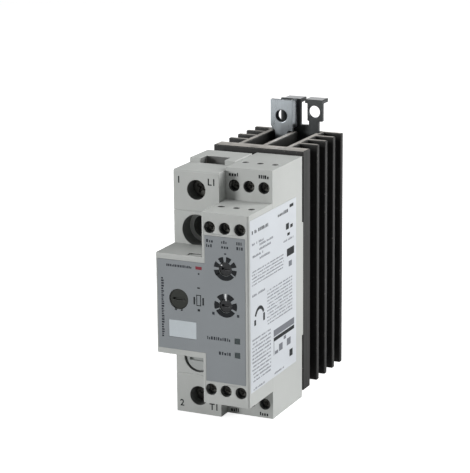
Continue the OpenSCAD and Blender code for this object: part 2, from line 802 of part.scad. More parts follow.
module front_overlay() {
    color([0.47, 0.49, 0.50]) difference() {
        union() overlay_film(0, 0);
        for (up = [upper_selector_up, lower_selector_up])
            bar_y(selector_x, mid_z + up, [-cut, overlay_t + cut], selector_r + knob_gap);
        bar_y(trimmer_x, mid_z + trimmer_up, [-cut, overlay_t + cut], trimmer_r + knob_gap);
        for (z = window_z)
            square_hole(window_x, z, window_w / 2 + fit_gap, [-cut, overlay_t + cut]);
        box([tag_x - fit_gap, tag_x + tag_w + fit_gap], [-cut, overlay_t + cut],
            [tag_z - fit_gap, tag_z + tag_h + fit_gap]);
    }
}

module side_label() {
    color([0.86, 0.87, 0.88])
        box([width - label_t, width], [label_y[0] + fit_gap, label_y[1] - fit_gap],
            [label_z[0] + fit_gap, label_z[1] - fit_gap]);
}

module marker_tag() {
    color([0.90, 0.92, 0.93])
        box([tag_x, tag_x + tag_w], [0, tag_t], [tag_z, tag_z + tag_h]);
}

module selector_bodies() {
    color([0.15, 0.15, 0.16]) for (up = [upper_selector_up, lower_selector_up])
        difference() {
            box([selector_x - 4.8, selector_x + 4.8], [switch_y, front_board_y],
                [mid_z + up - 4.8, mid_z + up + 4.8]);
            bar_y(selector_x, mid_z + up, [switch_y - cut, front_board_y - 0.8],
                  stem_r + 0.05);
        }
}

module turning_knob(x, z, r) {
    difference() {
        union() {
            bar_y(x, z, [knob_y, knob_y + knob_t], r);
            bar_y(x, z, [knob_y, front_board_y - 1], stem_r);
        }
        box([x - r * 0.62, x + r * 0.62], [knob_y - cut, knob_y + 0.8], [z - 0.4, z + 0.4]);
    }
}

module upper_selector_knob() {
    color([0.10, 0.10, 0.10])
        turning_knob(selector_x, mid_z + upper_selector_up, selector_r);
}
module lower_selector_knob() {
    color([0.10, 0.10, 0.10])
        turning_knob(selector_x, mid_z + lower_selector_up, selector_r);
}
module trimmer_knob() {
    color([0.18, 0.19, 0.16]) turning_knob(trimmer_x, mid_z + trimmer_up, trimmer_r);
}

module trimmer_body() {
    z = mid_z + trimmer_up;
    color([0.15, 0.25, 0.50]) difference() {
        box([trimmer_x - 3.6, trimmer_x + 3.6], [switch_y, front_board_y], [z - 3.6, z + 3.6]);
        bar_y(trimmer_x, z, [switch_y - cut, front_board_y - 0.8], stem_r + 0.05);
    }
}

module indicator_leds() {
    color([0.85, 0.90, 0.60]) for (z = window_z)
        square_hole(window_x, z, 0.8, [front_board_y - 1, front_board_y]);
}

module light_guides() {
    color([0.75, 0.80, 0.78]) for (z = window_z)
        square_hole(window_x, z, window_w / 2, [0.1, front_board_y - 1.2]);
}

// ---- Control terminals: three poles drawn at the lower end of a face ----

module terminal_block() {
    low = wall + fit_gap - control_screw_z;
    difference() {
        box([split_r + wall, width - wall - fit_gap], [block_front, block_back],
            [low, block_top]);
        for (i = [0 : 2]) {
            bar_y(pole_x(i), 0, [block_front - cut, c_clamp_y], control_head_r + 0.15);
            box([pole_x(i) - c_clamp_half_w - fit_gap, pole_x(i) + c_clamp_half_w + fit_gap],
                [c_clamp_y - fit_gap, c_clamp_back + fit_gap],
                [-c_clamp_half_h - fit_gap, block_top + cut]);
            box([pole_x(i) - c_clamp_half_w - fit_gap, pole_x(i) + c_clamp_half_w + fit_gap],
                [c_clamp_back - cut, block_back + cut],
                [block_top - c_contact_t - fit_gap, block_top + cut]);
            bar_z(pole_x(i), entry_back, [low - cut, 0], entry_r);
        }
    }
}

module terminal_clamp() {
    w = c_clamp_half_w - 0.45;
    difference() {
        box([-c_clamp_half_w, c_clamp_half_w], [c_clamp_y, c_clamp_back],
            [-c_clamp_half_h, c_clamp_half_h]);
        box([-w, w], [c_clamp_y + 1, c_clamp_back - 0.9],
            [-c_clamp_half_h - cut, c_clamp_half_h + cut]);
        bar_y(0, 0, [c_clamp_y - cut, c_clamp_y + 1.5], control_thread_r + 0.03);
    }
}

module terminal_contact() {
    w = c_clamp_half_w - 0.55;
    box([-w, w], [c_contact_y, c_contact_y + c_contact_t], [-c_clamp_half_h, block_top]);
    box([-w, w], [c_contact_y, block_back + 0.8], [block_top - c_contact_t, block_top]);
}

module terminal_screw() {
    color([0.80, 0.81, 0.82]) difference() {
        union() {
            bar_y(0, 0, [c_head_y, c_head_y + c_head_t], control_head_r);
            bar_y(0, 0, [c_head_y + c_head_t - 0.1, c_shank_end], control_thread_r);
        }
        cross_recess(0, 0, c_head_y, 1.3, 0.6, 0.9);
    }
}

// Moves a terminal piece to a screw's axis on the nose or on the recessed face
module on_nose() {
    translate([0, 0, right_nose_z + control_screw_z]) children();
}
module on_recess() {
    translate([0, recess_face, control_screw_z]) children();
}
module all_poles() {
    both_ends() for (i = [0 : 2]) translate([pole_x(i), 0, 0]) {
        on_nose() children();
        on_recess() children();
    }
}
module pole(i) {
    translate([pole_x(i - 1), 0, 0]) children();
}

module nose_terminals() {
    color([0.36, 0.38, 0.38]) both_ends() on_nose() terminal_block();
}
module rear_terminals() {
    color([0.36, 0.38, 0.38]) both_ends() on_recess() terminal_block();
}
module terminal_clamps() {
    color([0.80, 0.81, 0.82]) all_poles() terminal_clamp();
}
module terminal_contacts() {
    color([0.82, 0.70, 0.42]) all_poles() terminal_contact();
}
module lower_nose_screw(i) { pole(i) on_nose() terminal_screw(); }
module upper_nose_screw(i) { to_top() lower_nose_screw(i); }
module lower_rear_screw(i) { pole(i) on_recess() terminal_screw(); }
module upper_rear_screw(i) { to_top() lower_rear_screw(i); }

centred() heatsink();
centred() rail_bracket();
centred() rail_latch();
centred() latch_spring();
centred() bracket_screws();
centred() module_screws();
centred() access_plug();
centred() power_housing();
centred() base_plate();
centred() thermal_pad();
centred() ceramic_substrate();
centred() thyristor_chips();
centred() line_busbar();
centred() load_busbar();
centred() line_clamp();
centred() load_clamp();
centred() line_screw();
centred() load_screw();
centred() trigger_board();
centred() optocoupler();
centred() snubber_capacitor();
centred() varistor();
centred() gate_pins();
centred() control_housing();
centred() inner_lid();
centred() control_board();
centred() front_board();
centred() board_header();
centred() link_header();
centred() microcontroller();
centred() transformer();
centred() capacitors();
centred() alarm_relay();
centred() front_cover();
centred() front_overlay();
centred() side_label();
centred() marker_tag();
centred() selector_bodies();
centred() upper_selector_knob();
centred() lower_selector_knob();
centred() trimmer_body();
centred() trimmer_knob();
centred() indicator_leds();
centred() light_guides();
centred() nose_terminals();
centred() rear_terminals();
centred() terminal_clamps();
centred() terminal_contacts();
centred() upper_nose_screw(1);  // upper_nose_screw_1
centred() upper_nose_screw(2);  // upper_nose_screw_2
centred() upper_nose_screw(3);  // upper_nose_screw_3
centred() lower_nose_screw(1);  // lower_nose_screw_1
centred() lower_nose_screw(2);  // lower_nose_screw_2
centred() lower_nose_screw(3);  // lower_nose_screw_3
centred() upper_rear_screw(1);  // upper_rear_screw_1
centred() upper_rear_screw(2);  // upper_rear_screw_2
centred() upper_rear_screw(3);  // upper_rear_screw_3
centred() lower_rear_screw(1);  // lower_rear_screw_1
centred() lower_rear_screw(2);  // lower_rear_screw_2
centred() lower_rear_screw(3);  // lower_rear_screw_3
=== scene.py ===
# Looks of a two-module solid state relay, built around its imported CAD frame.
import json
import math

import bmesh
import bpy
import numpy as np
from bpy.props import FloatProperty, FloatVectorProperty, IntProperty, PointerProperty
from bpy.types import Operator, Panel, PropertyGroup
from mathutils import Matrix, Vector
from mathutils.bvhtree import BVHTree

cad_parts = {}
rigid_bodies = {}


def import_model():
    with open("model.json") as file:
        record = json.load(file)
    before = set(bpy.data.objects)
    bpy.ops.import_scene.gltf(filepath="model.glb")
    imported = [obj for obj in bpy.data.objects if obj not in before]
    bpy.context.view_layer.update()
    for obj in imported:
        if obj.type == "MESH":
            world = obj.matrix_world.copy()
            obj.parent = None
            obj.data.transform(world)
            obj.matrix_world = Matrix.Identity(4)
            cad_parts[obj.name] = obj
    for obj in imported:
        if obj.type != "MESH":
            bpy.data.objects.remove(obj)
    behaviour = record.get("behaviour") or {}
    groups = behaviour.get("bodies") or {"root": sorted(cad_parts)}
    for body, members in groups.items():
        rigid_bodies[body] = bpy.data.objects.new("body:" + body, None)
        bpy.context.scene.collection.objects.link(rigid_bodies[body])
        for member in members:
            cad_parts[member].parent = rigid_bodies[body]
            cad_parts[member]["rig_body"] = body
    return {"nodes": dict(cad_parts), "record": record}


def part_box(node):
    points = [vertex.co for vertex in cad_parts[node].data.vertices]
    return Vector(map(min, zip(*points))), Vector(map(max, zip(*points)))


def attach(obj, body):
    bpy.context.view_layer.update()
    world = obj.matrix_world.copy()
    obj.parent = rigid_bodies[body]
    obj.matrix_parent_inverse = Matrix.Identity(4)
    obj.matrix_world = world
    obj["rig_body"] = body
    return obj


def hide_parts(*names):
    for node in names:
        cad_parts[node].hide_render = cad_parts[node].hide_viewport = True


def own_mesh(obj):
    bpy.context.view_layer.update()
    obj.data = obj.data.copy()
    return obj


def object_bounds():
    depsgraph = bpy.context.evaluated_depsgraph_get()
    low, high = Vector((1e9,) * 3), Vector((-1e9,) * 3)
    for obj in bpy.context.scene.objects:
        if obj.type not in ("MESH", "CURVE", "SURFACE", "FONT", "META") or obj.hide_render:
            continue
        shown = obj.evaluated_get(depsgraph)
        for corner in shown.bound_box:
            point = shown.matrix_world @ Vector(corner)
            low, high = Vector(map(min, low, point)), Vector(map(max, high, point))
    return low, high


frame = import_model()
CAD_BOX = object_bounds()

bl_info = {
    "name": "Solid State Relay",
    "version": (1, 0, 0),
    "blender": (4, 5, 0),
    "location": "View3D > Sidebar > Relay",
    "description": "Housings, heatsink, controls, terminals and print of a rail mounted relay",
    "category": "Add Mesh",
}

MM = 0.001
NODES = frame["nodes"]
SLOT_OF = {part["node"]: part["material_slot"] for part in frame["record"]["subparts"]}
BODY_OF = {name: obj["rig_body"] for name, obj in NODES.items()}
POLES = (1, 2, 3)
POWER_SCREWS = ("line_screw", "load_screw")
CONTROL_SCREWS = tuple(
    f"{end}_{face}_screw_{pole}"
    for face in ("nose", "rear") for end in ("upper", "lower") for pole in POLES
)


# Half the side of the floor, and each lamp's place from the relay's middle and its side, in metres
FLOOR_HALF = 6.0
LAMPS = {"right_light": ((0.72, 0.44, 0.36), 0.5), "front_light": ((-0.68, -0.80, 0.25), 0.3),
         "top_light": ((0.05, 0.10, 0.95), 0.5)}
# Arm length, arm width and depth of the cross recess in a power and in a control screw
POWER_RECESS = (2.3 * MM, 0.9 * MM, 1.2 * MM)
CONTROL_RECESS = (1.3 * MM, 0.6 * MM, 0.9 * MM)


# ---- Sizes and colours that a user would change ----

def length(name, text, value):
    """A length property, given in millimetres and kept in metres."""
    return FloatProperty(name=name, description=text, default=value * MM, min=0, unit="LENGTH",
                         precision=5)


def colour(name, text, value):
    """A colour property in linear light."""
    return FloatVectorProperty(name=name, description=text, default=value, size=3, min=0, max=1,
                               subtype="COLOR")


class RelaySizes(PropertyGroup):
    """Sizes of the finishing details."""
    moulding_edge: length("Moulding edge", "Rounding of the housings' edges", 0.14)
    extrusion_edge: length("Extrusion edge", "Rounding of the heatsink's edges", 0.35)
    sheet_edge: length("Sheet edge", "Rounding of the bracket's and latch's edges", 0.22)
    knob_edge: length("Knob edge", "Rounding of knobs, plug and tag", 0.16)
    small_edge: length("Small edge", "Rounding of clamps and other small metal parts", 0.12)
    print_rise: length("Print rise", "Thickness of printed ink", 0.02)
    wire: length("Spring wire", "Radius of the latch spring's wire", 0.25)
    wire_sides: IntProperty(name="Spring wire sides", description="Facets round the wire",
                            default=10, min=6, max=24)
    coils: IntProperty(name="Spring coils", description="Turns of the latch spring",
                       default=9, min=4, max=16)
    power_thread: length("Power thread", "Outer radius of a power screw's thread", 2.0)
    power_pitch: length("Power pitch", "Pitch of a power screw's thread", 0.7)
    power_head: length("Power head", "Height of a power screw's head", 1.7)
    control_thread: length("Control thread", "Outer radius of a control screw's thread", 1.25)
    control_pitch: length("Control pitch", "Pitch of a control screw's thread", 0.45)
    control_head: length("Control head", "Height of a control screw's head", 1.6)


class RelayColours(PropertyGroup):
    """Colours of the finishes."""
    housing: colour("Housing", "Light grey moulded housings", (0.470, 0.485, 0.470))
    # Painted shade: a dark copy of the housing colour laid on walls inside holes and hollows,
    # where shade falls
    inside: colour("Inside", "Shaded walls inside the housings", (0.15, 0.155, 0.15))
    plug: colour("Plug", "Access plug", (0.40, 0.42, 0.41))
    overlay: colour("Overlay", "Printed front film", (0.245, 0.265, 0.280))
    label: colour("Label", "Printed side label", (0.570, 0.600, 0.635))
    tag: colour("Tag", "Marker tag", (0.54, 0.59, 0.62))
    ink: colour("Ink", "Dark printing ink", (0.010, 0.012, 0.014))
    pale_ink: colour("Pale ink", "Grey printing ink of the small print", (0.16, 0.17, 0.19))
    small_ink: colour("Front ink", "Ink of the front's small print", (0.030, 0.034, 0.042))
    accent: colour("Accent", "Dark red printing ink", (0.23, 0.035, 0.05))
    heatsink: colour("Heatsink", "Black anodised extrusion", (0.013, 0.013, 0.0125))
    bare: colour("Bare aluminium", "Sawn ends of the extrusion", (0.46, 0.44, 0.41))
    bracket: colour("Bracket", "Zinc plated bracket", (0.46, 0.50, 0.53))
    latch: colour("Latch", "Dark steel latch", (0.075, 0.080, 0.082))
    # Partly painted shade: the screws are darkened to stand for the shade their heads sit in down
    # the terminal holes
    screw: colour("Screws", "Dark passivated screws", (0.11, 0.11, 0.10))
    knob: colour("Knob", "Selector knobs", (0.010, 0.011, 0.013))
    trimmer: colour("Trimmer", "Trimmer knob", (0.011, 0.014, 0.009))


class RelayStage(PropertyGroup):
    """Camera, floor and light."""
    azimuth: FloatProperty(name="Azimuth", description="Camera's angle round the relay",
                           default=math.radians(25.15), subtype="ANGLE")
    elevation: FloatProperty(name="Elevation", description="Camera's angle above the horizon",
                             default=math.radians(14.37), subtype="ANGLE")
    roll: FloatProperty(name="Roll", description="Camera's turn about its own axis",
                        default=math.radians(-0.505), subtype="ANGLE")
    distance: length("Distance", "From the camera to the point it looks at", 654.06)
    lens: FloatProperty(name="Lens", description="Focal length in millimetres", default=140.9)
    aim: FloatVectorProperty(name="Aim", description="From the middle of the relay to the aim",
                             default=(0.0017, -0.0208, 0.0126), size=3, subtype="XYZ")
    sky: FloatProperty(name="Sky", description="Strength of the even light", default=0.19)
    key: FloatProperty(name="Key", description="Watts of the light behind the right side",
                       default=9.0)
    fill: FloatProperty(name="Fill", description="Watts of the light before the left side",
                        default=6.9)
    top: FloatProperty(name="Top", description="Watts of the light overhead", default=3.2)


# ---- Shader helpers ----

def wire(tree, kind, inputs=None, **settings):
    """Adds a shader node, sets its options, and fills its inputs with values or outputs."""
    made = tree.nodes.new(kind)
    for key, value in settings.items():
        setattr(made, key, value)
    for key, value in (inputs or {}).items():
        if isinstance(value, bpy.types.NodeSocket):
            tree.links.new(value, made.inputs[key])
        else:
            made.inputs[key].default_value = value
    return made


def noise(tree, vector, scale, detail=3.0, rough=0.55):
    """A noise pattern's value, about 0.5 in the middle."""
    return wire(tree, "ShaderNodeTexNoise", {"Vector": vector, "Scale": scale, "Detail": detail,
                                             "Roughness": rough}).outputs["Fac"]


def spread(tree, value, low, high, to_low=0.0, to_high=1.0):
    """Maps low..high to to_low..to_high and holds it there."""
    return wire(tree, "ShaderNodeMapRange", {"Value": value, "From Min": low, "From Max": high,
                                             "To Min": to_low, "To Max": to_high}
                ).outputs["Result"]


def blend_colours(tree, share, first, second, mode="MIX"):
    """Mixes two colours; each is a colour or an output."""
    mix = tree.nodes.new("ShaderNodeMix")
    mix.data_type = "RGBA"
    mix.blend_type = mode
    for socket, value in ((mix.inputs[0], share), (mix.inputs[6], first),
                          (mix.inputs[7], second)):
        if isinstance(value, bpy.types.NodeSocket):
            tree.links.new(value, socket)
        elif isinstance(value, float):
            socket.default_value = value
        else:
            socket.default_value = (*tuple(value)[:3], 1.0)
    return mix.outputs[2]


def combine(tree, how, first, second):
    """One arithmetic step."""
    return wire(tree, "ShaderNodeMath", {0: first, 1: second}, operation=how).outputs[0]


def new_effect(name, inputs, outputs):
    """An empty node group with named float, vector or colour sockets."""
    tree = bpy.data.node_groups.new(name, "ShaderNodeTree")
    for label, kind, value in inputs:
        socket = tree.interface.new_socket(label, in_out="INPUT", socket_type=kind)
        if value is not None:
            socket.default_value = value
    for label in outputs:
        tree.interface.new_socket(label, in_out="OUTPUT", socket_type="NodeSocketFloat")
    return tree, tree.nodes.new("NodeGroupInput").outputs, tree.nodes.new("NodeGroupOutput")


def fill_outputs(tree, node, values):
    """Links each value to the input of the same name."""
    for label, value in values.items():
        tree.links.new(value, node.inputs[label])


def moulding_effect():
    """Spark eroded grain, cloudy tone and handling marks of a moulded part."""
    tree, given, out = new_effect(
        "moulding", [("Vector", "NodeSocketVector", None), ("Grain", "NodeSocketFloat", 3000.0)],
        ["Height", "Tone", "Mark"])
    grain = noise(tree, given["Vector"], given["Grain"], 2.0)
    flow = noise(tree, given["Vector"], 260.0, 2.0)
    cloud = noise(tree, given["Vector"], 70.0, 4.0)
    stretched = wire(tree, "ShaderNodeMapping", {"Vector": given["Vector"],
                                                 "Scale": (1.0, 1.0, 0.25)}).outputs[0]
    mark = noise(tree, stretched, 420.0, 6.0, 0.7)
    height = combine(tree, "ADD", grain, combine(tree, "MULTIPLY", flow, 0.6))
    fill_outputs(tree, out, {"Height": height, "Tone": spread(tree, cloud, 0.32, 0.68),
                             "Mark": spread(tree, mark, 0.60, 0.78)})
    return tree


def metal_effect():
    """Long fine streaks along one direction, with pits."""
    tree, given, out = new_effect(
        "drawn_metal", [("Vector", "NodeSocketVector", None),
                        ("Stretch", "NodeSocketVector", (1.0, 1.0, 0.05)),
                        ("Grain", "NodeSocketFloat", 2500.0)],
        ["Height", "Streak", "Pit"])
    along = wire(tree, "ShaderNodeVectorMath", {0: given["Vector"], 1: given["Stretch"]},
                 operation="MULTIPLY").outputs[0]
    streak = noise(tree, along, given["Grain"], 4.0, 0.6)
    broad = noise(tree, along, combine(tree, "MULTIPLY", given["Grain"], 0.12), 2.0)
    cells = wire(tree, "ShaderNodeTexVoronoi", {"Vector": given["Vector"], "Scale": 900.0}
                 ).outputs["Distance"]
    pit = spread(tree, cells, 0.10, 0.02)
    height = combine(tree, "SUBTRACT", streak, combine(tree, "MULTIPLY", pit, 0.4))
    both = combine(tree, "MULTIPLY", combine(tree, "ADD", streak, broad), 0.5)
    fill_outputs(tree, out, {"Height": height, "Streak": spread(tree, both, 0.36, 0.64),
                             "Pit": pit})
    return tree


def traces_effect():
    """Tracks, gaps and pads of a circuit board, from two brick patterns and a dot pattern."""
    tree, given, out = new_effect("board_tracks", [("Vector", "NodeSocketVector", None)],
                                  ["Track", "Pad", "Weave"])
    turned = wire(tree, "ShaderNodeMapping", {"Vector": given["Vector"],
                                              "Rotation": (math.radians(90.0), 0.0, 0.0)}
                  ).outputs[0]
    bricks = wire(tree, "ShaderNodeTexBrick", {"Vector": turned, "Scale": 260.0,
                                               "Mortar Size": 0.06, "Color1": (1, 1, 1, 1),
                                               "Color2": (0.55, 0.55, 0.55, 1),
                                               "Mortar": (0, 0, 0, 1)}).outputs["Color"]
    value = wire(tree, "ShaderNodeSeparateColor", {"Color": bricks}).outputs[0]
    dots = wire(tree, "ShaderNodeTexVoronoi", {"Vector": given["Vector"], "Scale": 320.0,
                                               "Randomness": 0.35}).outputs["Distance"]
    weave = wire(tree, "ShaderNodeTexWave", {"Vector": turned, "Scale": 900.0,
                                             "Distortion": 1.0}).outputs["Fac"]
    fill_outputs(tree, out, {"Track": spread(tree, value, 0.3, 0.6),
                             "Pad": spread(tree, dots, 0.17, 0.12), "Weave": weave})
    return tree


EFFECTS = {}


def effect(tree, name, inputs):
    """Places one of the shared effects, built the first time it is asked for."""
    if name not in EFFECTS:
        EFFECTS[name] = {"moulding": moulding_effect, "metal": metal_effect,
                         "tracks": traces_effect}[name]()
    made = tree.nodes.new("ShaderNodeGroup")
    made.node_tree = EFFECTS[name]
    for key, value in inputs.items():
        if isinstance(value, bpy.types.NodeSocket):
            tree.links.new(value, made.inputs[key])
        else:
            made.inputs[key].default_value = value
    return made.outputs


def new_finish(name):
    """A new material with its tree, shader and Object coordinates."""
    made = bpy.data.materials.new(name)
    made.use_nodes = True
    tree = made.node_tree
    tree.nodes.clear()
    shader = tree.nodes.new("ShaderNodeBsdfPrincipled")
    out = tree.nodes.new("ShaderNodeOutputMaterial")
    tree.links.new(shader.outputs["BSDF"], out.inputs["Surface"])
    where = tree.nodes.new("ShaderNodeTexCoord").outputs["Object"]
    return made, tree, shader, where


def connect(tree, shader, sockets):
    """Links or sets the shader's sockets by name."""
    for key, value in sockets.items():
        if isinstance(value, bpy.types.NodeSocket):
            tree.links.new(value, shader.inputs[key])
        else:
            shader.inputs[key].default_value = value


def bump(tree, height, depth, strength=0.5):
    """A normal from a height pattern; depth is in metres."""
    return wire(tree, "ShaderNodeBump", {"Height": height, "Strength": strength,
                                         "Distance": depth}).outputs["Normal"]


def darker(value, share):
    return tuple(channel * share for channel in tuple(value)[:3])


def plastic(name, base, rough=0.5, grain=3000.0, depth=0.012, coat=0.0, worn=0.0, tone=0.93):
    """Moulded plastic: grain bump, cloudy tone and paler rubbed marks."""
    made, tree, shader, where = new_finish(name)
    parts = effect(tree, "moulding", {"Vector": where, "Grain": grain})
    body = blend_colours(tree, parts["Tone"], darker(base, tone), base)
    rubbed = [min(1.0, channel * 1.25 + 0.02) for channel in tuple(base)[:3]]
    share = combine(tree, "MULTIPLY", parts["Mark"], 0.25 + worn)
    connect(tree, shader, {
        "Base Color": blend_colours(tree, share, body, rubbed),
        "Roughness": spread(tree, parts["Tone"], 0.0, 1.0, rough - 0.06, rough + 0.06),
        "Normal": bump(tree, parts["Height"], depth * MM), "Coat Weight": coat,
        "Coat Roughness": 0.15})
    return made


def metal(name, base, rough=0.35, stretch=(1.0, 1.0, 0.05), grain=2500.0, depth=0.004,
          metallic=1.0, stain=0.85):
    """Rolled, drawn or plated metal: streaks along the stretched direction, pits and stains."""
    made, tree, shader, where = new_finish(name)
    parts = effect(tree, "metal", {"Vector": where, "Stretch": stretch, "Grain": grain})
    body = blend_colours(tree, parts["Streak"], darker(base, stain), base)
    stained = blend_colours(tree, combine(tree, "MULTIPLY", parts["Pit"], 0.5), body,
                            darker(base, 0.45))
    connect(tree, shader, {
        "Base Color": stained, "Metallic": metallic,
        "Roughness": spread(tree, parts["Streak"], 0.0, 1.0, rough + 0.08, rough - 0.06),
        "Normal": bump(tree, parts["Height"], depth * MM)})
    return made


def anodised(name, base, bare, worn):
    """Black anodised extrusion: fine die lines along z; worn is the share of bare metal."""
    made, tree, shader, where = new_finish(name)
    parts = effect(tree, "metal", {"Vector": where, "Stretch": (1.0, 1.0, 0.01),
                                   "Grain": 1800.0})
    chips = spread(tree, noise(tree, where, 900.0, 5.0, 0.7), 0.62, 0.72)
    share = combine(tree, "MULTIPLY", chips, worn)
    body = blend_colours(tree, parts["Streak"], darker(base, 0.75), darker(base, 1.3))
    connect(tree, shader, {
        "Base Color": blend_colours(tree, share, body, bare),
        "Metallic": spread(tree, share, 0.0, 1.0, 0.25, 0.9),
        "Roughness": spread(tree, parts["Streak"], 0.0, 1.0, 0.52, 0.40),
        "Normal": bump(tree, parts["Height"], 0.008 * MM)})
    return made


def sawn(name, base):
    """Sawn aluminium with curved saw lines across the cut."""
    made, tree, shader, where = new_finish(name)
    lines = wire(tree, "ShaderNodeTexWave", {"Vector": where, "Scale": 900.0, "Distortion": 4.0,
                                             "Detail": 3.0}, wave_type="RINGS",
                 rings_direction="X").outputs["Fac"]
    cloud = noise(tree, where, 130.0, 4.0)
    body = blend_colours(tree, spread(tree, cloud, 0.35, 0.65), darker(base, 0.6), base)
    connect(tree, shader, {
        "Base Color": blend_colours(tree, combine(tree, "MULTIPLY", lines, 0.35), body,
                                    darker(base, 1.4)),
        "Metallic": 0.15, "Roughness": spread(tree, lines, 0.0, 1.0, 0.42, 0.58),
        "Normal": bump(tree, lines, 0.006 * MM)})
    return made


def film(name, base, rough, speck):
    """Printed film or paper label: very fine grain, faint creases and ink specks."""
    made, tree, shader, where = new_finish(name)
    parts = effect(tree, "moulding", {"Vector": where, "Grain": 5200.0})
    fleck = spread(tree, noise(tree, where, 2600.0, 2.0), 0.66, 0.74)
    body = blend_colours(tree, parts["Tone"], darker(base, 0.95), base)
    connect(tree, shader, {
        "Base Color": blend_colours(tree, combine(tree, "MULTIPLY", fleck, speck), body,
                                    darker(base, 0.6)),
        "Roughness": spread(tree, parts["Tone"], 0.0, 1.0, rough - 0.05, rough + 0.05),
        "Normal": bump(tree, parts["Height"], 0.004 * MM, 0.35)})
    return made


def ink(name, base):
    """Screen printed ink with small pinholes and a slightly uneven gloss."""
    made, tree, shader, where = new_finish(name)
    parts = effect(tree, "moulding", {"Vector": where, "Grain": 4200.0})
    paler = [channel * 0.9 + 0.015 for channel in tuple(base)[:3]]
    connect(tree, shader, {
        "Base Color": blend_colours(tree, combine(tree, "MULTIPLY", parts["Mark"], 0.5), base,
                                    paler),
        "Roughness": spread(tree, parts["Tone"], 0.0, 1.0, 0.50, 0.64),
        "Specular IOR Level": 0.2, "Normal": bump(tree, parts["Height"], 0.005 * MM)})
    return made


def board(name, base):
    """Circuit board: solder mask over tracks, tinned pads and glass weave."""
    made, tree, shader, where = new_finish(name)
    parts = effect(tree, "tracks", {"Vector": where})
    track = blend_colours(tree, parts["Track"], darker(base, 0.6), darker(base, 1.5))
    connect(tree, shader, {
        "Base Color": blend_colours(tree, parts["Pad"], track, (0.55, 0.54, 0.50)),
        "Metallic": parts["Pad"],
        "Roughness": spread(tree, parts["Weave"], 0.0, 1.0, 0.28, 0.36),
        "Normal": bump(tree, parts["Track"], 0.02 * MM)})
    return made


def clear(name, base):
    """Clear or tinted plastic with faint moulding swirls."""
    made, tree, shader, where = new_finish(name)
    swirl = spread(tree, noise(tree, where, 500.0, 3.0), 0.3, 0.7)
    body = blend_colours(tree, swirl, darker(base, 0.85), base)
    connect(tree, shader, {
        "Base Color": body, "Roughness": spread(tree, swirl, 0.0, 1.0, 0.08, 0.2),
        "Transmission Weight": 0.35, "IOR": 1.49, "Normal": bump(tree, swirl, 0.01 * MM, 0.3)})
    return made


def ceramic(name, base, rough):
    """Fired ceramic or coated component: mottled, fine pitted, with dark specks."""
    made, tree, shader, where = new_finish(name)
    mottle = spread(tree, noise(tree, where, 700.0, 5.0), 0.35, 0.65)
    speck = spread(tree, wire(tree, "ShaderNodeTexVoronoi", {"Vector": where, "Scale": 1500.0}
                              ).outputs["Distance"], 0.08, 0.03)
    body = blend_colours(tree, mottle, darker(base, 0.88), base)
    connect(tree, shader, {
        "Base Color": blend_colours(tree, combine(tree, "MULTIPLY", speck, 0.5), body,
                                    darker(base, 0.5)),
        "Roughness": spread(tree, mottle, 0.0, 1.0, rough - 0.05, rough + 0.08),
        "Normal": bump(tree, mottle, 0.008 * MM)})
    return made


ALONG_Z = (1.0, 1.0, 0.05)
ALONG_Y = (1.0, 0.05, 1.0)
ALONG_X = (0.05, 1.0, 1.0)


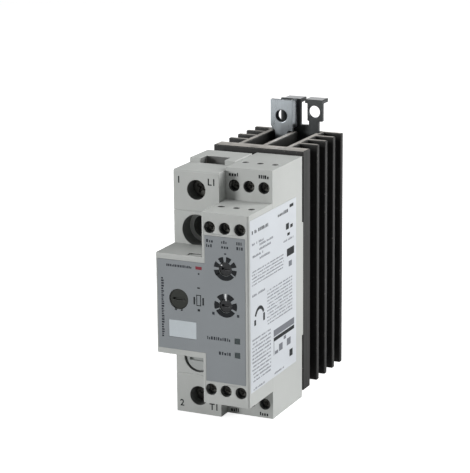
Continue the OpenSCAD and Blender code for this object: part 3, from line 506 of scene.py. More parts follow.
def make_finish(slot):
    """Builds the finish of one of the record's material slots."""
    c = bpy.context.scene.relay_colours
    made = {
        "housing_plastic": lambda n: plastic(n, c.housing, 0.50),
        "plug_plastic": lambda n: plastic(n, c.plug, 0.55),
        "overlay_film": lambda n: film(n, c.overlay, 0.48, 0.25),
        "label_film": lambda n: film(n, c.label, 0.36, 0.12),
        "tag_plastic": lambda n: plastic(n, c.tag, 0.38, 4200.0, 0.006),
        "terminal_plastic": lambda n: plastic(n, (0.045, 0.05, 0.05), 0.6),
        "black_plastic": lambda n: plastic(n, (0.013, 0.013, 0.014), 0.45),
        "switch_plastic": lambda n: plastic(n, c.knob, 0.38),
        "trimmer_plastic": lambda n: plastic(n, c.trimmer, 0.42, 2200.0, 0.02),
        "trimmer_blue": lambda n: plastic(n, (0.03, 0.08, 0.30), 0.35, coat=0.2),
        "clear_plastic": lambda n: clear(n, (0.075, 0.100, 0.104)),
        "led_lens": lambda n: clear(n, (0.25, 0.32, 0.08)),
        "anodised_aluminium": lambda n: anodised(n, c.heatsink, c.bare, 0.12),
        "zinc_steel": lambda n: metal(n, c.bracket, 0.30, ALONG_Z, 1500.0),
        "latch_steel": lambda n: metal(n, c.latch, 0.42, ALONG_Z, 1500.0, metallic=0.8),
        "spring_steel": lambda n: metal(n, (0.55, 0.56, 0.57), 0.28, ALONG_X),
        # Darkened and only partly metallic, as painted shade for the deep terminal holes
        "screw_steel": lambda n: metal(n, c.screw, 0.40, ALONG_Y, 3000.0, metallic=0.6),
        "copper": lambda n: metal(n, (0.72, 0.34, 0.20), 0.32, ALONG_Z, stain=0.7),
        "tinned_brass": lambda n: metal(n, (0.74, 0.64, 0.42), 0.30, ALONG_Z),
        "thermal_film": lambda n: film(n, (0.30, 0.32, 0.34), 0.75, 0.5),
        "alumina": lambda n: ceramic(n, (0.85, 0.85, 0.80), 0.5),
        "silicon": lambda n: metal(n, (0.22, 0.24, 0.30), 0.18, ALONG_X, 1200.0, stain=0.95),
        "circuit_board": lambda n: board(n, (0.02, 0.13, 0.055)),
        "film_capacitor": lambda n: plastic(n, (0.68, 0.46, 0.06), 0.35, coat=0.3),
        "varistor_coating": lambda n: ceramic(n, (0.03, 0.09, 0.28), 0.3),
        "capacitor_sleeve": lambda n: plastic(n, (0.02, 0.025, 0.09), 0.3, coat=0.3),
        "relay_case": lambda n: plastic(n, (0.80, 0.32, 0.05), 0.35, coat=0.2),
        "transformer_core": lambda n: ceramic(n, (0.05, 0.045, 0.04), 0.55),
        "housing_edge": lambda n: plastic(n, darker(c.housing, 1.06), 0.42, worn=0.25),
        # Painted shade: a dark copy of the housing plastic for walls inside holes and hollows
        "housing_inside": lambda n: plastic(n, c.inside, 0.6),
        # Painted highlight: a pale, less metallic copy of the latch steel that stands for the
        # sky's reflection on its flat faces
        "latch_worn": lambda n: metal(n, (0.60, 0.61, 0.62), 0.45, ALONG_X, 1500.0,
                                      metallic=0.3),
        "anodised_edge": lambda n: anodised(n, darker(c.heatsink, 2.0), c.bare, 0.8),
        "sawn_aluminium": lambda n: sawn(n, c.bare),
        "dark_ink": lambda n: ink(n, c.ink),
        "pale_ink": lambda n: ink(n, c.pale_ink),
        "small_ink": lambda n: ink(n, c.small_ink),
        "accent_ink": lambda n: ink(n, c.accent),
        "white_ink": lambda n: ink(n, (0.75, 0.76, 0.76)),
    }
    return made[slot](f"{slot}_look")


def finish(slot):
    """The finish of a slot, made once."""
    return bpy.data.materials.get(f"{slot}_look") or make_finish(slot)


# ---- Mesh helpers ----

def sizes():
    return bpy.context.scene.relay_sizes


def dress(*names):
    """Gives CAD nodes the finish of their own slots."""
    for name in names:
        mesh = NODES[name].data
        mesh.materials.clear()
        mesh.materials.append(finish(SLOT_OF[name]))


def seat(obj, node):
    """A finished piece rides with a CAD node's body."""
    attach(obj, BODY_OF[node])
    return obj


def new_piece(name, points, faces, finishes, node, smooth=True):
    """Puts arrays of points and faces into a mesh that rides with a CAD node's body."""
    mesh = bpy.data.meshes.new(name)
    mesh.from_pydata(np.asarray(points, float), [], faces)
    mesh.polygons.foreach_set("use_smooth", np.full(len(mesh.polygons), smooth))
    for slot_name in finishes:
        mesh.materials.append(finish(slot_name))
    mesh.update()
    obj = bpy.data.objects.new(name, mesh)
    bpy.context.scene.collection.objects.link(obj)
    return seat(obj, node)


def within(point, low, high):
    return all(a <= b <= c for a, b, c in zip(low, point, high))


def rounded(node, radius, segments=2, edge_slot=None, end_slot=None, inner_slot=None,
            hollow=None, split=False):
    """A merged copy of a CAD node with rounded edges, standing for that node.

    Coincident points are merged and coplanar triangles joined, then every edge that turns more
    than 30 degrees is rolled over with the given radius. Faces that look straight up or down
    take end_slot's finish: the sawn ends of the heatsink, and a painted highlight on the latch's
    flat faces. Faces that look onto another wall of the same piece or lie in the hollow box take
    inner_slot's darker finish, which paints the shade in holes and hollows, and the
    rolled edges take edge_slot's. Split cuts faces of many corners into triangles first."""
    source = NODES[node]
    shell = bmesh.new()
    shell.from_mesh(source.data)
    bmesh.ops.remove_doubles(shell, verts=shell.verts, dist=0.002 * MM)
    bmesh.ops.dissolve_limit(shell, angle_limit=math.radians(0.5), verts=shell.verts,
                             edges=shell.edges)
    if split:
        wide = [face for face in shell.faces if len(face.verts) > 4]
        bmesh.ops.triangulate(shell, faces=wide, ngon_method="BEAUTY")
    walls = BVHTree.FromBMesh(shell)
    for face in shell.faces:
        face.smooth = True
        centre = face.calc_center_median() + face.normal * 0.02 * MM
        if end_slot and abs(face.normal.z) > 0.99:
            face.material_index = 2
        # Faces that look onto another wall of the piece, or lie in the hollow box, take the darker
        # finish of painted shade
        elif inner_slot and (walls.ray_cast(centre, face.normal, 30 * MM)[0]
                             or hollow and within(centre, *hollow)):
            face.material_index = 3
    mesh = bpy.data.meshes.new(f"{node}_finished")
    shell.to_mesh(mesh)
    shell.free()
    for slot_name in (SLOT_OF[node], edge_slot, end_slot, inner_slot):
        mesh.materials.append(finish(slot_name or SLOT_OF[node]))
    obj = bpy.data.objects.new(f"{node}_finished", mesh)
    bpy.context.scene.collection.objects.link(obj)
    bevel = obj.modifiers.new("rounded edges", "BEVEL")
    bevel.width = radius
    bevel.segments = segments
    bevel.limit_method = "ANGLE"
    bevel.angle_limit = math.radians(30)
    bevel.use_clamp_overlap = False
    bevel.material = 1
    flat = obj.modifiers.new("flat faces", "WEIGHTED_NORMAL")
    flat.mode = "FACE_AREA"
    flat.weight = 90
    seat(obj, node)
    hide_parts(node)
    return obj


def ring_faces(rings, sides):
    """Quads of a grid of rings that closes round, and a fan over each end."""
    row = np.arange(sides)
    start = np.arange(rings - 1)[:, None] * sides
    a = start + row
    b = start + (row + 1) % sides
    quads = np.stack([a, b, b + sides, a + sides], -1).reshape(-1, 4)
    first, last = rings * sides, rings * sides + 1
    near = np.stack([np.full(sides, first), (row + 1) % sides, row], -1)
    top = (rings - 1) * sides
    far = np.stack([np.full(sides, last), top + row, top + (row + 1) % sides], -1)
    return quads.tolist() + near.tolist() + far.tolist()


def closed_rings(rings):
    """Points of an (m, n, 3) grid of rings, with the middle of each end ring added."""
    ends = np.stack([rings[0].mean(0), rings[-1].mean(0)])
    return np.concatenate([rings.reshape(-1, 3), ends])


def turned_about_y(radius, depth, sides, middle):
    """Rings of radius(i, j) at depth(i, j) behind middle, carried round the y axis."""
    angle = np.linspace(0, 2 * np.pi, sides, endpoint=False)
    radius = np.broadcast_to(radius, depth.shape)
    x = middle[0] + radius * np.cos(angle)
    z = middle[2] + radius * np.sin(angle)
    return np.stack([x, middle[1] + depth, z], -1)


def smooth_step(value, low, high):
    """0 below low, 1 above high, and a smooth curve between."""
    t = np.clip((value - low) / (high - low), 0, 1)
    return t * t * (3 - 2 * t)


def prisms(outlines, sink, rise):
    """Closed flat plates from (n, k, 2) outlines, from sink below the surface to rise above.

    Each outline runs anticlockwise; its k points are repeated at both heights."""
    outlines = np.asarray(outlines, float)
    count, corners = outlines.shape[:2]
    low = np.concatenate([outlines, np.full((count, corners, 1), -sink)], -1)
    high = np.concatenate([outlines, np.full((count, corners, 1), rise)], -1)
    points = np.stack([low, high], 1).reshape(-1, 3)
    base = (np.arange(count) * 2 * corners)[:, None]
    row = np.arange(corners)
    top = (base + corners + row).tolist()
    bottom = (base + row[::-1]).tolist()
    walls = np.stack([base + row, base + (row + 1) % corners,
                      base + corners + (row + 1) % corners, base + corners + row], -1)
    return points, top + bottom + walls.reshape(-1, 4).tolist()


def boxes(spans):
    """(n, 4, 2) outlines of boxes given as left, right, low and high."""
    left, right, low, high = np.asarray(spans, float).T
    return np.stack([np.stack([left, low], -1), np.stack([right, low], -1),
                     np.stack([right, high], -1), np.stack([left, high], -1)], 1)


def sectors(middle, inner, outer, start, stop, steps=8):
    """Outlines of ring sectors: the outer arc from start to stop, then the inner arc back."""
    share = np.linspace(0, 1, steps + 1)
    turn = np.radians(np.asarray(start)[:, None] * (1 - share) + np.asarray(stop)[:, None] * share)
    out = np.stack([middle[0] + outer * np.cos(turn), middle[1] + outer * np.sin(turn)], -1)
    back = turn[:, ::-1]
    home = np.stack([middle[0] + inner * np.cos(back), middle[1] + inner * np.sin(back)], -1)
    return np.concatenate([out, home], 1)


def on_front(points, y):
    """Plate points (across, up, out) put on a face that looks towards -y."""
    return np.stack([points[:, 0], y - points[:, 2], points[:, 1]], -1)


def on_side(points, x):
    """Plate points (back, up, out) put on a face that looks towards +x."""
    return np.stack([x + points[:, 2], points[:, 0], points[:, 1]], -1)


def print_piece(name, groups, place, surface, node):
    """One piece of print from {ink: [outline arrays]}, with a material slot for each ink."""
    rise = sizes().print_rise
    points, faces, inks, base = [], [], [], 0
    for index, outlines in enumerate(groups.values()):
        for outline in outlines:
            flat, made = prisms(outline, rise, rise)
            points.append(place(flat, surface))
            faces += [[corner + base for corner in face] for face in made]
            inks += [index] * len(made)
            base += len(flat)
    obj = new_piece(name, np.concatenate(points), faces, list(groups), node, False)
    obj.data.polygons.foreach_set("material_index", inks)
    return obj


def small_print(left, right, low, height, seed, gap=0.28, words=0.16):
    """Spans of unreadable small print along one line: stems and bars of uneven widths."""
    draw = np.random.default_rng(seed)
    steps = height * draw.uniform(0.35, 0.85, 400)
    begin = left + np.cumsum(steps + gap * height) - steps
    drop = draw.random(400) < words
    keep = (begin + steps < right) & ~drop
    tall = height * draw.choice([0.72, 1.0, 1.0], 400)
    full = np.stack([begin, begin + steps * 0.8, np.full(400, low), low + tall], -1)
    return full[keep]


def lettering(text, size, middle, place, surface):
    """Points and faces of generic lettering, centred on middle, as thin plates."""
    curve = bpy.data.curves.new("lettering", "FONT")
    curve.body = text
    curve.size = size
    curve.offset = 0.02 * size
    curve.extrude = sizes().print_rise
    curve.align_x = "CENTER"
    curve.align_y = "CENTER"
    holder = bpy.data.objects.new("lettering", curve)
    bpy.context.scene.collection.objects.link(holder)
    bpy.context.view_layer.update()
    mesh = holder.to_mesh()
    flat = np.zeros(len(mesh.vertices) * 3)
    mesh.vertices.foreach_get("co", flat)
    flat = flat.reshape(-1, 3)
    flat[:, 0] += middle[0]
    flat[:, 1] += middle[1]
    faces = [list(polygon.vertices) for polygon in mesh.polygons]
    holder.to_mesh_clear()
    bpy.data.objects.remove(holder)
    bpy.data.curves.remove(curve)
    return place(flat, surface), faces


def lettering_piece(name, marks, place, surface, node, ink_slot="dark_ink"):
    """One piece from several short marks: (text, size, middle)."""
    points, faces, base = [], [], 0
    for text, size, middle in marks:
        part, made = lettering(text, size, middle, place, surface)
        points.append(part)
        faces += [[corner + base for corner in face] for face in made]
        base += len(part)
    return new_piece(name, np.concatenate(points), faces, [ink_slot], node, False)


def middle_of(node):
    low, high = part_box(node)
    return (low + high) / 2


# ---- The pieces ----

class MakeHousings(Operator):
    """Rounds the two housings, the front cover and the access plug"""
    bl_idname = "relay.housings"
    bl_label = "Housings"

    def execute(self, context):
        edge = context.scene.relay_sizes.moulding_edge
        looks = {"edge_slot": "housing_edge", "inner_slot": "housing_inside"}
        # The cable slot is open at its front, so its walls, which take the painted shade, are
        # picked out by the clamp's width
        clamp_low, clamp_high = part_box("line_clamp")
        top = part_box("power_housing")[1].z
        slot = ((clamp_low.x, clamp_low.y, clamp_high.z), (clamp_high.x, clamp_high.y, top))
        rounded("power_housing", edge, hollow=slot, **looks)
        rounded("control_housing", edge, **looks)
        rounded("front_cover", edge, split=True, **looks)
        rounded("access_plug", context.scene.relay_sizes.knob_edge)
        dress("inner_lid")
        return {"FINISHED"}


class MakeHeatsink(Operator):
    """Rounds the extrusion and gives it sawn ends"""
    bl_idname = "relay.heatsink"
    bl_label = "Heatsink"

    def execute(self, context):
        rounded("heatsink", context.scene.relay_sizes.extrusion_edge, segments=3,
                edge_slot="anodised_edge", end_slot="sawn_aluminium")
        return {"FINISHED"}


class MakeRailClip(Operator):
    """Rounds the bracket, the sprung latch and their screws"""
    bl_idname = "relay.rail_clip"
    bl_label = "Rail clip"

    def execute(self, context):
        edge = context.scene.relay_sizes.sheet_edge
        rounded("rail_bracket", edge)
        # The latch's faces that look straight up or down take a pale copy of its steel: a painted
        # highlight
        rounded("rail_latch", edge, end_slot="latch_worn")
        rounded("bracket_screws", context.scene.relay_sizes.small_edge)
        return {"FINISHED"}


class MakeSpring(Operator):
    """Winds the latch spring from round wire with closed end coils"""
    bl_idname = "relay.spring"
    bl_label = "Latch spring"

    def execute(self, context):
        s = context.scene.relay_sizes
        low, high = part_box("latch_spring")
        middle = (low + high) / 2
        mean = (high.x - low.x) / 2 - s.wire
        # The wire's middle runs round a circle and climbs; the climb eases to nothing over the
        # first and last coils, and each ring of wire lies square to the path.
        share = np.linspace(0, 1, s.coils * 24 + 1)
        turn = 2 * np.pi * s.coils * share
        ease = 1.0 / s.coils
        climb = np.interp(share, [0, ease, 1 - ease, 1], [0, 0.06, 0.94, 1])
        height = low.z + s.wire + (high.z - low.z - 2 * s.wire) * climb
        path = np.stack([middle.x + mean * np.cos(turn), middle.y + mean * np.sin(turn),
                         height], -1)
        along = np.gradient(path, axis=0)
        along /= np.linalg.norm(along, axis=1, keepdims=True)
        outward = np.stack([np.cos(turn), np.sin(turn), np.zeros_like(turn)], -1)
        across = np.cross(along, outward)
        around = np.linspace(0, 2 * np.pi, s.wire_sides, endpoint=False)
        rings = (path[:, None] + s.wire * (np.cos(around)[:, None] * outward[:, None]
                                           + np.sin(around)[:, None] * across[:, None]))
        spring = new_piece("latch_spring_wound", closed_rings(rings[:, ::-1]),
                           ring_faces(len(rings), s.wire_sides), ["spring_steel"],
                           "latch_spring")
        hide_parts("latch_spring")
        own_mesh(spring)
        return {"FINISHED"}


class MakeScrews(Operator):
    """Turns the terminal screws: domed head, cross recess and rolled thread"""
    bl_idname = "relay.screws"
    bl_label = "Terminal screws"

    def screw(self, node, thread, pitch, head, recess, turn):
        """A surface of revolution about y. The face sinks in a cross whose arms get shallower
        outwards, and the shank's radius follows a rounded wave of depth against turn plus
        angle, which is a helix."""
        low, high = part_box(node)
        middle = (low + high) / 2
        outer = (high.x - low.x) / 2
        long = high.y - low.y
        sides = 72
        angle = np.linspace(0, 2 * np.pi, sides, endpoint=False)
        rim = 0.09 * outer
        face_r = np.linspace(0.02 * outer, outer - rim, 22)[:, None] + 0 * angle
        across = face_r * np.cos(angle + turn)
        up = face_r * np.sin(angle + turn)
        arm, width, sink = recess
        arms = [(1 - smooth_step(np.abs(a), width * 0.38, width * 0.62))
                * (1 - smooth_step(np.abs(b), arm * 0.72, arm)) * (1 - 0.45 * np.abs(b) / arm)
                for a, b in ((across, up), (up, across))]
        face_y = sink * np.maximum(*arms) + 0.05 * rim * (face_r / outer) ** 2
        roll = np.linspace(0, np.pi / 2, 5)[1:, None] + 0 * angle
        rim_r = outer - rim + rim * np.sin(roll)
        rim_y = rim - rim * np.cos(roll)
        under_r = np.array([outer, outer - rim, thread * 0.86])[:, None] + 0 * angle
        under_y = np.array([head - rim, head, head])[:, None] + 0 * angle
        down = np.linspace(head + 0.02 * MM, long - 0.4 * thread, 56)[:, None] + 0 * angle
        wave = 0.5 + 0.5 * np.cos(2 * np.pi * down / pitch - angle)
        fade = smooth_step(down, head, head + pitch)
        shank_r = thread * 0.84 + thread * 0.155 * wave * fade
        tip_r = np.array([0.80, 0.62])[:, None] * thread + 0 * angle
        tip_y = np.array([long - 0.25 * thread, long])[:, None] + 0 * angle
        radius = np.concatenate([face_r, rim_r, under_r, shank_r, tip_r])
        depth = np.concatenate([face_y, rim_y, under_y, down, tip_y])
        rings = turned_about_y(radius, depth, sides, (middle.x, low.y, middle.z))
        obj = new_piece(f"{node}_turned", closed_rings(rings), ring_faces(len(rings), sides),
                        ["screw_steel"], node)
        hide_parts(node)

    def execute(self, context):
        s = context.scene.relay_sizes
        for index, node in enumerate(POWER_SCREWS):
            self.screw(node, s.power_thread, s.power_pitch, s.power_head,
                       POWER_RECESS, 0.5 + index)
        for index, node in enumerate(CONTROL_SCREWS):
            self.screw(node, s.control_thread, s.control_pitch, s.control_head,
                       CONTROL_RECESS, 0.7 * index)
        return {"FINISHED"}


class MakeKnobs(Operator):
    """Rounds the selector and trimmer knobs and prints their pointers"""
    bl_idname = "relay.knobs"
    bl_label = "Knobs"

    def execute(self, context):
        for node, turn in (("upper_selector_knob", 145), ("lower_selector_knob", 90)):
            rounded(node, context.scene.relay_sizes.knob_edge)
            middle = middle_of(node)
            reach = (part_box(node)[1].x - middle.x) / MM
            pointer = sectors((middle.x / MM, middle.z / MM), reach * 0.70, reach * 0.97,
                              [turn - 6.0], [turn + 6.0]) * MM
            print_piece(f"{node}_pointer", {"white_ink": [pointer]}, on_front,
                        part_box(node)[0].y, node)
        rounded("trimmer_knob", context.scene.relay_sizes.knob_edge)
        dress("selector_bodies", "trimmer_body")
        return {"FINISHED"}


class MakeFront(Operator):
    """Finishes the overlay, the marker tag and the indicators"""
    bl_idname = "relay.front"
    bl_label = "Overlay, tag and indicators"

    def execute(self, context):
        rounded("marker_tag", context.scene.relay_sizes.knob_edge)
        dress("front_overlay", "light_guides", "indicator_leds", "side_label")
        return {"FINISHED"}


class PrintFront(Operator):
    """Prints the scales, symbols and small print of the overlay"""
    bl_idname = "relay.front_print"
    bl_label = "Overlay print"

    def scale(self, node, first, step, count, half, solid):
        """Wedge ticks round a selector, and a solid stretch below it."""
        middle = middle_of(node) / MM
        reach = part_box(node)[1].x / MM - middle.x
        start = first + step * np.arange(count)
        at = (middle.x, middle.z)
        ticks = sectors(at, reach + 0.12, 4.35, start - half, start + half)
        below = sectors(at, reach + 0.12, 4.15, [solid[0]], [solid[1]], 16)
        return [ticks * MM, below * MM]

    def execute(self, context):
        low, high = (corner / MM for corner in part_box("front_overlay"))
        dark, pale, accent, white = [], [], [], []
        dark += self.scale("upper_selector_knob", -17.0, 44.0, 6, 14.0, (-148.0, -38.0))
        dark += self.scale("lower_selector_knob", 0.0, 60.0, 4, 20.0, (-152.0, -32.0))
        trimmer = middle_of("trimmer_knob") / MM
        dark.append(sectors((trimmer.x, trimmer.z), 3.75, 4.25, [-113.0, -79.0],
                            [-101.0, -67.0], 3) * MM)
        # Two rows of terminal marks under the upper screws
        for pole in POLES:
            x = middle_of(f"upper_nose_screw_{pole}").x / MM
            for row, z in enumerate((high.z - 2.3, high.z - 4.0)):
                pale.append(boxes(small_print(x - 1.5, x + 1.5, z, 1.1, 10 * pole + row, 0.2,
                                              0.0)) * MM)
        # Lines of small print beside the indicators
        guides_low, guides_high = (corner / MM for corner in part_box("light_guides"))
        for z, wide, seed in ((guides_high.z - 1.5, 9.8, 3), (guides_low.z + 0.5, 5.4, 4)):
            right = guides_low.x - 0.9
            pale.append(boxes(small_print(right - wide, right, z, 1.15, seed, 0.18, 0.0)) * MM)
        # Heading line with a plain red mark
        head = low.x + 3.4
        pale.append(boxes(small_print(head, head + 10.2, high.z - 12.4, 0.85, 7, 0.12, 0.0)) * MM)
        accent.append(boxes([(head + 11.3, head + 13.7, high.z - 12.5, high.z - 11.4)]) * MM)
        # Upright line of small print along the left edge
        column = small_print(trimmer.z - 14.4, trimmer.z + 8.1, 0, 1.0, 9, 0.14, 0.02)
        left = low.x + 1.35
        upright = np.stack([left + 0 * column[:, 0], left + column[:, 3], column[:, 0],
                            column[:, 1]], -1)
        pale.append(boxes(upright) * MM)
        # Symbol between the trimmer and the selector: a frame between two brackets
        middle = (trimmer.x + 7.75, trimmer.z + 0.4)
        frame_bars = [(-0.9, 0.9, 1.7, 2.0), (-0.9, 0.9, -2.0, -1.7), (-0.9, -0.6, -2.0, 2.0),
                      (0.6, 0.9, -2.0, 2.0)]
        side_bars = [(-2.0, -1.4, -1.6, 1.1), (1.4, 2.0, -1.6, 1.1), (-0.5, 0.5, 4.2, 4.7),
                     (-0.45, 0.45, -3.9, -3.1)]
        for bars in (frame_bars, side_bars):
            shifted = np.asarray(bars) + np.array([middle[0], middle[0], middle[1], middle[1]])
            dark.append(boxes(shifted) * MM)
        # End marks of the lower scale, and a white line at its middle
        knob = middle_of("lower_selector_knob") / MM
        white.append(sectors((knob.x, knob.z), 2.6, 4.3, [86.0], [94.0], 3) * MM)
        for side in (-1, 1):
            x = knob.x + 4.7 * side
            pale.append(boxes([(x - 0.45, x + 0.45, knob.z - 3.6, knob.z - 2.6)]) * MM)
        # A short line above the upper selector and a full stop under the red mark
        above = middle_of("upper_selector_knob") / MM
        pale.append(boxes([(above.x - 0.4, above.x + 0.4, above.z + 5.1, above.z + 5.6),
                           (head + 12.2, head + 12.8, high.z - 14.3, high.z - 13.7)]) * MM)
        inks = {"dark_ink": dark, "small_ink": pale, "accent_ink": accent, "white_ink": white}
        print_piece("overlay_print", inks, on_front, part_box("front_overlay")[0].y,
                    "front_overlay")
        return {"FINISHED"}


class PrintTerminals(Operator):
    """Prints the terminal numbers on both housings"""
    bl_idname = "relay.terminal_print"
    bl_label = "Terminal numbers"

    def execute(self, context):
        low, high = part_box("power_housing")
        marks = []
        for node, first, second, up in (("line_screw", "1", "L1", 3.1 * MM),
                                        ("load_screw", "2", "T1", -3.6 * MM)):
            middle = middle_of(node)
            marks += [(first, 3.4 * MM, (middle.x - 6.8 * MM, middle.z + up)),
                      (second, 3.4 * MM, (middle.x + 6.0 * MM, middle.z + up))]
        lettering_piece("terminal_numbers", marks, on_front, low.y, "power_housing")
        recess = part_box("control_housing")[0].y
        upper = [middle_of(f"upper_rear_screw_{pole}") / MM for pole in POLES]
        lower = [middle_of(f"lower_rear_screw_{pole}") / MM for pole in POLES]
        spans = [boxes(small_print(at.x - 2.1, at.x + 2.1, at.z + up, 1.3, seed, 0.10, 0.0)) * MM
                 for at, up, seed in ((upper[0], 3.3, 21), (upper[2], 3.3, 22),
                                      (lower[0], -4.4, 23), (lower[2], -4.4, 24))]
        print_piece("recess_print", {"dark_ink": spans}, on_front, recess, "control_housing")
        return {"FINISHED"}


class PrintLabel(Operator):
    """Prints the side label: lines of small print, blocks, a table and a curve"""
    bl_idname = "relay.label_print"
    bl_label = "Side label print"

    def rows(self, spans, height, seed):
        """Lines of small print from (left, right, low) spans."""
        return [boxes(small_print(left, right, low, height, seed + index, 0.22, 0.14))
                for index, (left, right, low) in enumerate(spans)]

    def execute(self, context):
        low, high = (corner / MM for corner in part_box("side_label"))
        ink_rows = self.rows([(1.4, 15.3, 56.4), (22.0, 33.2, 57.6)], 1.2, 40)
        blocks = [(31.4, 37.8, 41.4, 44.2), (33.6, 36.4, 3.6, 6.2), (33.8, 37.2, 58.9, 60.0),
                  (19.6, 37.8, 13.2, 14.6), (30.6, 33.2, 51.4, 53.6), (34.4, 36.6, 51.4, 52.6),
                  (31.8, 34.0, 49.0, 50.0)]
        dark = ink_rows + [boxes(blocks)]
        pale = self.rows([(1.6, 12.0, 52.4), (7.8, 20.6, 51.2), (7.6, 18.2, 49.6),
                          (2.0, 11.4, 48.0), (7.8, 16.8, 46.4), (27.6, 37.4, 47.2),
                          (1.6, 12.4, 34.2)], 0.8, 50)
        pale += self.rows([(1.4, 28.6, 42.8 - 1.15 * i) for i in range(5)], 0.5, 60)
        pale += self.rows([(14.0, 36.4, 33.0 - 1.2 * i) for i in range(11)], 0.5, 70)
        pale += self.rows([(1.4, 17.4, 18.4 - 1.35 * i) for i in range(12)], 0.6, 90)
        pale += self.rows([(19.4, 28.6, 0.9), (2.2, 12.0, 0.5)], 0.7, 110)
        cells = [(19.6, 37.8, 15.0, 17.4), (19.6, 20.0, 8.2, 13.2), (24.2, 27.4, 8.4, 11.0),
                 (31.2, 34.6, 8.4, 11.0), (20.6, 23.4, 8.2, 9.4), (28.4, 30.4, 11.6, 12.8),
                 (33.0, 35.8, 37.4, 39.4)]
        pale.append(boxes(cells))
        # An arch in three strokes: up, over and down
        arch = sectors((7.6, 25.6), 3.0, 4.2, [20.0], [160.0], 20)
        legs = boxes([(3.2, 4.6, 23.6, 25.6), (10.7, 12.1, 23.6, 26.4)])
        dark += [arch, legs]
        shift = np.array([low.y, low.z])
        groups = {"dark_ink": [(shape + shift) * MM for shape in dark],
                  "pale_ink": [(shape + shift) * MM for shape in pale]}
        print_piece("label_print", groups, on_side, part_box("side_label")[1].x, "side_label")
        return {"FINISHED"}


class FinishTerminals(Operator):
    """Rounds the clamps and finishes the terminal blocks and busbars"""
    bl_idname = "relay.terminals"
    bl_label = "Terminals"

    def execute(self, context):
        for node in ("line_clamp", "load_clamp", "terminal_clamps", "line_busbar",
                     "load_busbar"):
            rounded(node, context.scene.relay_sizes.small_edge)
        dress("nose_terminals", "rear_terminals", "terminal_contacts")
        return {"FINISHED"}


class FinishInside(Operator):
    """Finishes the boards, components and power stack inside the modules"""
    bl_idname = "relay.inside"
    bl_label = "Inner parts"

    def execute(self, context):
        dress("base_plate", "thermal_pad", "ceramic_substrate", "thyristor_chips",
              "trigger_board", "optocoupler", "snubber_capacitor", "varistor", "gate_pins",
              "control_board", "front_board", "board_header", "link_header",
              "microcontroller", "transformer", "capacitors", "alarm_relay", "module_screws")
        return {"FINISHED"}


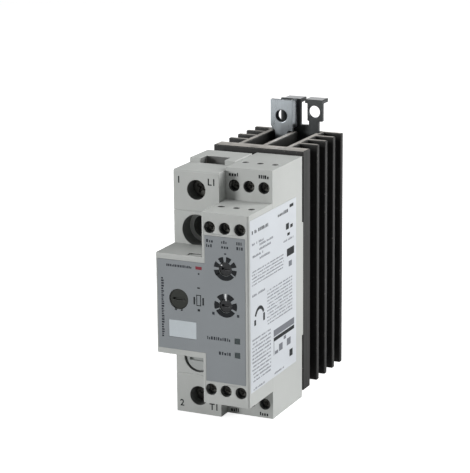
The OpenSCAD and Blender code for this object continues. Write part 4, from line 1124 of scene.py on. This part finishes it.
class MakeStage(Operator):
    """Sets the floor, the light and the camera"""
    bl_idname = "relay.stage"
    bl_label = "Stage"

    def floor(self):
        """A wide pale sheet under the relay."""
        half = FLOOR_HALF
        z = CAD_BOX[0].z
        mesh = bpy.data.meshes.new("floor")
        mesh.from_pydata([(-half, -half, z), (half, -half, z), (half, half, z),
                          (-half, half, z)], [], [(0, 1, 2, 3)])
        made, tree, shader, where = new_finish("floor_paint")
        cloud = spread(tree, noise(tree, where, 6.0, 3.0), 0.3, 0.7)
        seen = wire(tree, "ShaderNodeLightPath").outputs["Is Camera Ray"]
        connect(tree, shader, {
            "Base Color": blend_colours(tree, cloud, (0.56, 0.56, 0.56), (0.60, 0.60, 0.60)),
            "Roughness": 0.9, "Emission Color": (1.0, 1.0, 1.0, 1.0),
            "Emission Strength": combine(tree, "MULTIPLY", seen, 0.80)})
        mesh.materials.append(made)
        obj = bpy.data.objects.new("floor", mesh)
        bpy.context.scene.collection.objects.link(obj)

    def lamp(self, name, where, target, size, watts):
        """A square area light that looks at the target."""
        light = bpy.data.lights.new(name, "AREA")
        light.size = size
        light.energy = watts
        obj = bpy.data.objects.new(name, light)
        obj.location = where
        obj.rotation_mode = "QUATERNION"
        obj.rotation_quaternion = (target - where).to_track_quat("-Z", "Y")
        bpy.context.scene.collection.objects.link(obj)

    def camera(self, context):
        """Looks at the aim from the azimuth and elevation, then rolls about its own axis."""
        stage = context.scene.relay_stage
        a, e, r = stage.azimuth, stage.elevation, stage.roll
        back = Vector((math.sin(a) * math.cos(e), -math.cos(a) * math.cos(e), math.sin(e)))
        right = Vector((math.cos(a), math.sin(a), 0.0))
        up = back.cross(right)
        right, up = (right * math.cos(r) + up * math.sin(r),
                     up * math.cos(r) - right * math.sin(r))
        target = (CAD_BOX[0] + CAD_BOX[1]) / 2 + Vector(stage.aim)
        data = bpy.data.cameras.new("camera")
        data.lens = stage.lens
        data.clip_start = 0.01
        data.clip_end = 50
        obj = bpy.data.objects.new("camera", data)
        obj.rotation_mode = "QUATERNION"
        obj.rotation_quaternion = Matrix((right, up, back)).transposed().to_quaternion()
        obj.location = target + back * stage.distance
        context.scene.collection.objects.link(obj)
        context.scene.camera = obj

    def execute(self, context):
        stage = context.scene.relay_stage
        world = bpy.data.worlds.new("sky")
        world.use_nodes = True
        sky = world.node_tree.nodes["Background"]
        sky.inputs["Color"].default_value = (1.0, 1.0, 1.0, 1.0)
        sky.inputs["Strength"].default_value = stage.sky
        context.scene.world = world
        context.scene.view_settings.view_transform = "Standard"
        middle = (CAD_BOX[0] + CAD_BOX[1]) / 2
        self.floor()
        for name, (offset, size) in LAMPS.items():
            watts = {"right_light": stage.key, "front_light": stage.fill,
                     "top_light": stage.top}[name]
            self.lamp(name, middle + Vector(offset), middle, size, watts)
        self.camera(context)
        return {"FINISHED"}


STEPS = (MakeStage, MakeHousings, MakeHeatsink, MakeRailClip, MakeSpring, MakeScrews, MakeKnobs,
         MakeFront, PrintFront, PrintTerminals, PrintLabel, FinishTerminals, FinishInside)


class RelayPanel(Panel):
    """Lists the steps that build the relay's looks"""
    bl_idname = "VIEW3D_PT_relay"
    bl_label = "Solid State Relay"
    bl_space_type = "VIEW_3D"
    bl_region_type = "UI"
    bl_category = "Relay"

    def draw(self, context):
        for step in STEPS:
            self.layout.operator(step.bl_idname)
        for group in (context.scene.relay_sizes, context.scene.relay_colours,
                      context.scene.relay_stage):
            box = self.layout.box()
            for name in group.__annotations__:
                box.prop(group, name)


GROUPS = {"relay_sizes": RelaySizes, "relay_colours": RelayColours, "relay_stage": RelayStage}


def register():
    for made in (*GROUPS.values(), *STEPS, RelayPanel):
        bpy.utils.register_class(made)
    for name, group in GROUPS.items():
        setattr(bpy.types.Scene, name, PointerProperty(type=group))


def unregister():
    for name in GROUPS:
        delattr(bpy.types.Scene, name)
    for made in reversed((*GROUPS.values(), *STEPS, RelayPanel)):
        bpy.utils.unregister_class(made)


def main():
    """Builds every piece."""
    register()
    for step in STEPS:
        family, action = step.bl_idname.split(".")
        getattr(getattr(bpy.ops, family), action)()


if __name__ == "__main__":
    main()
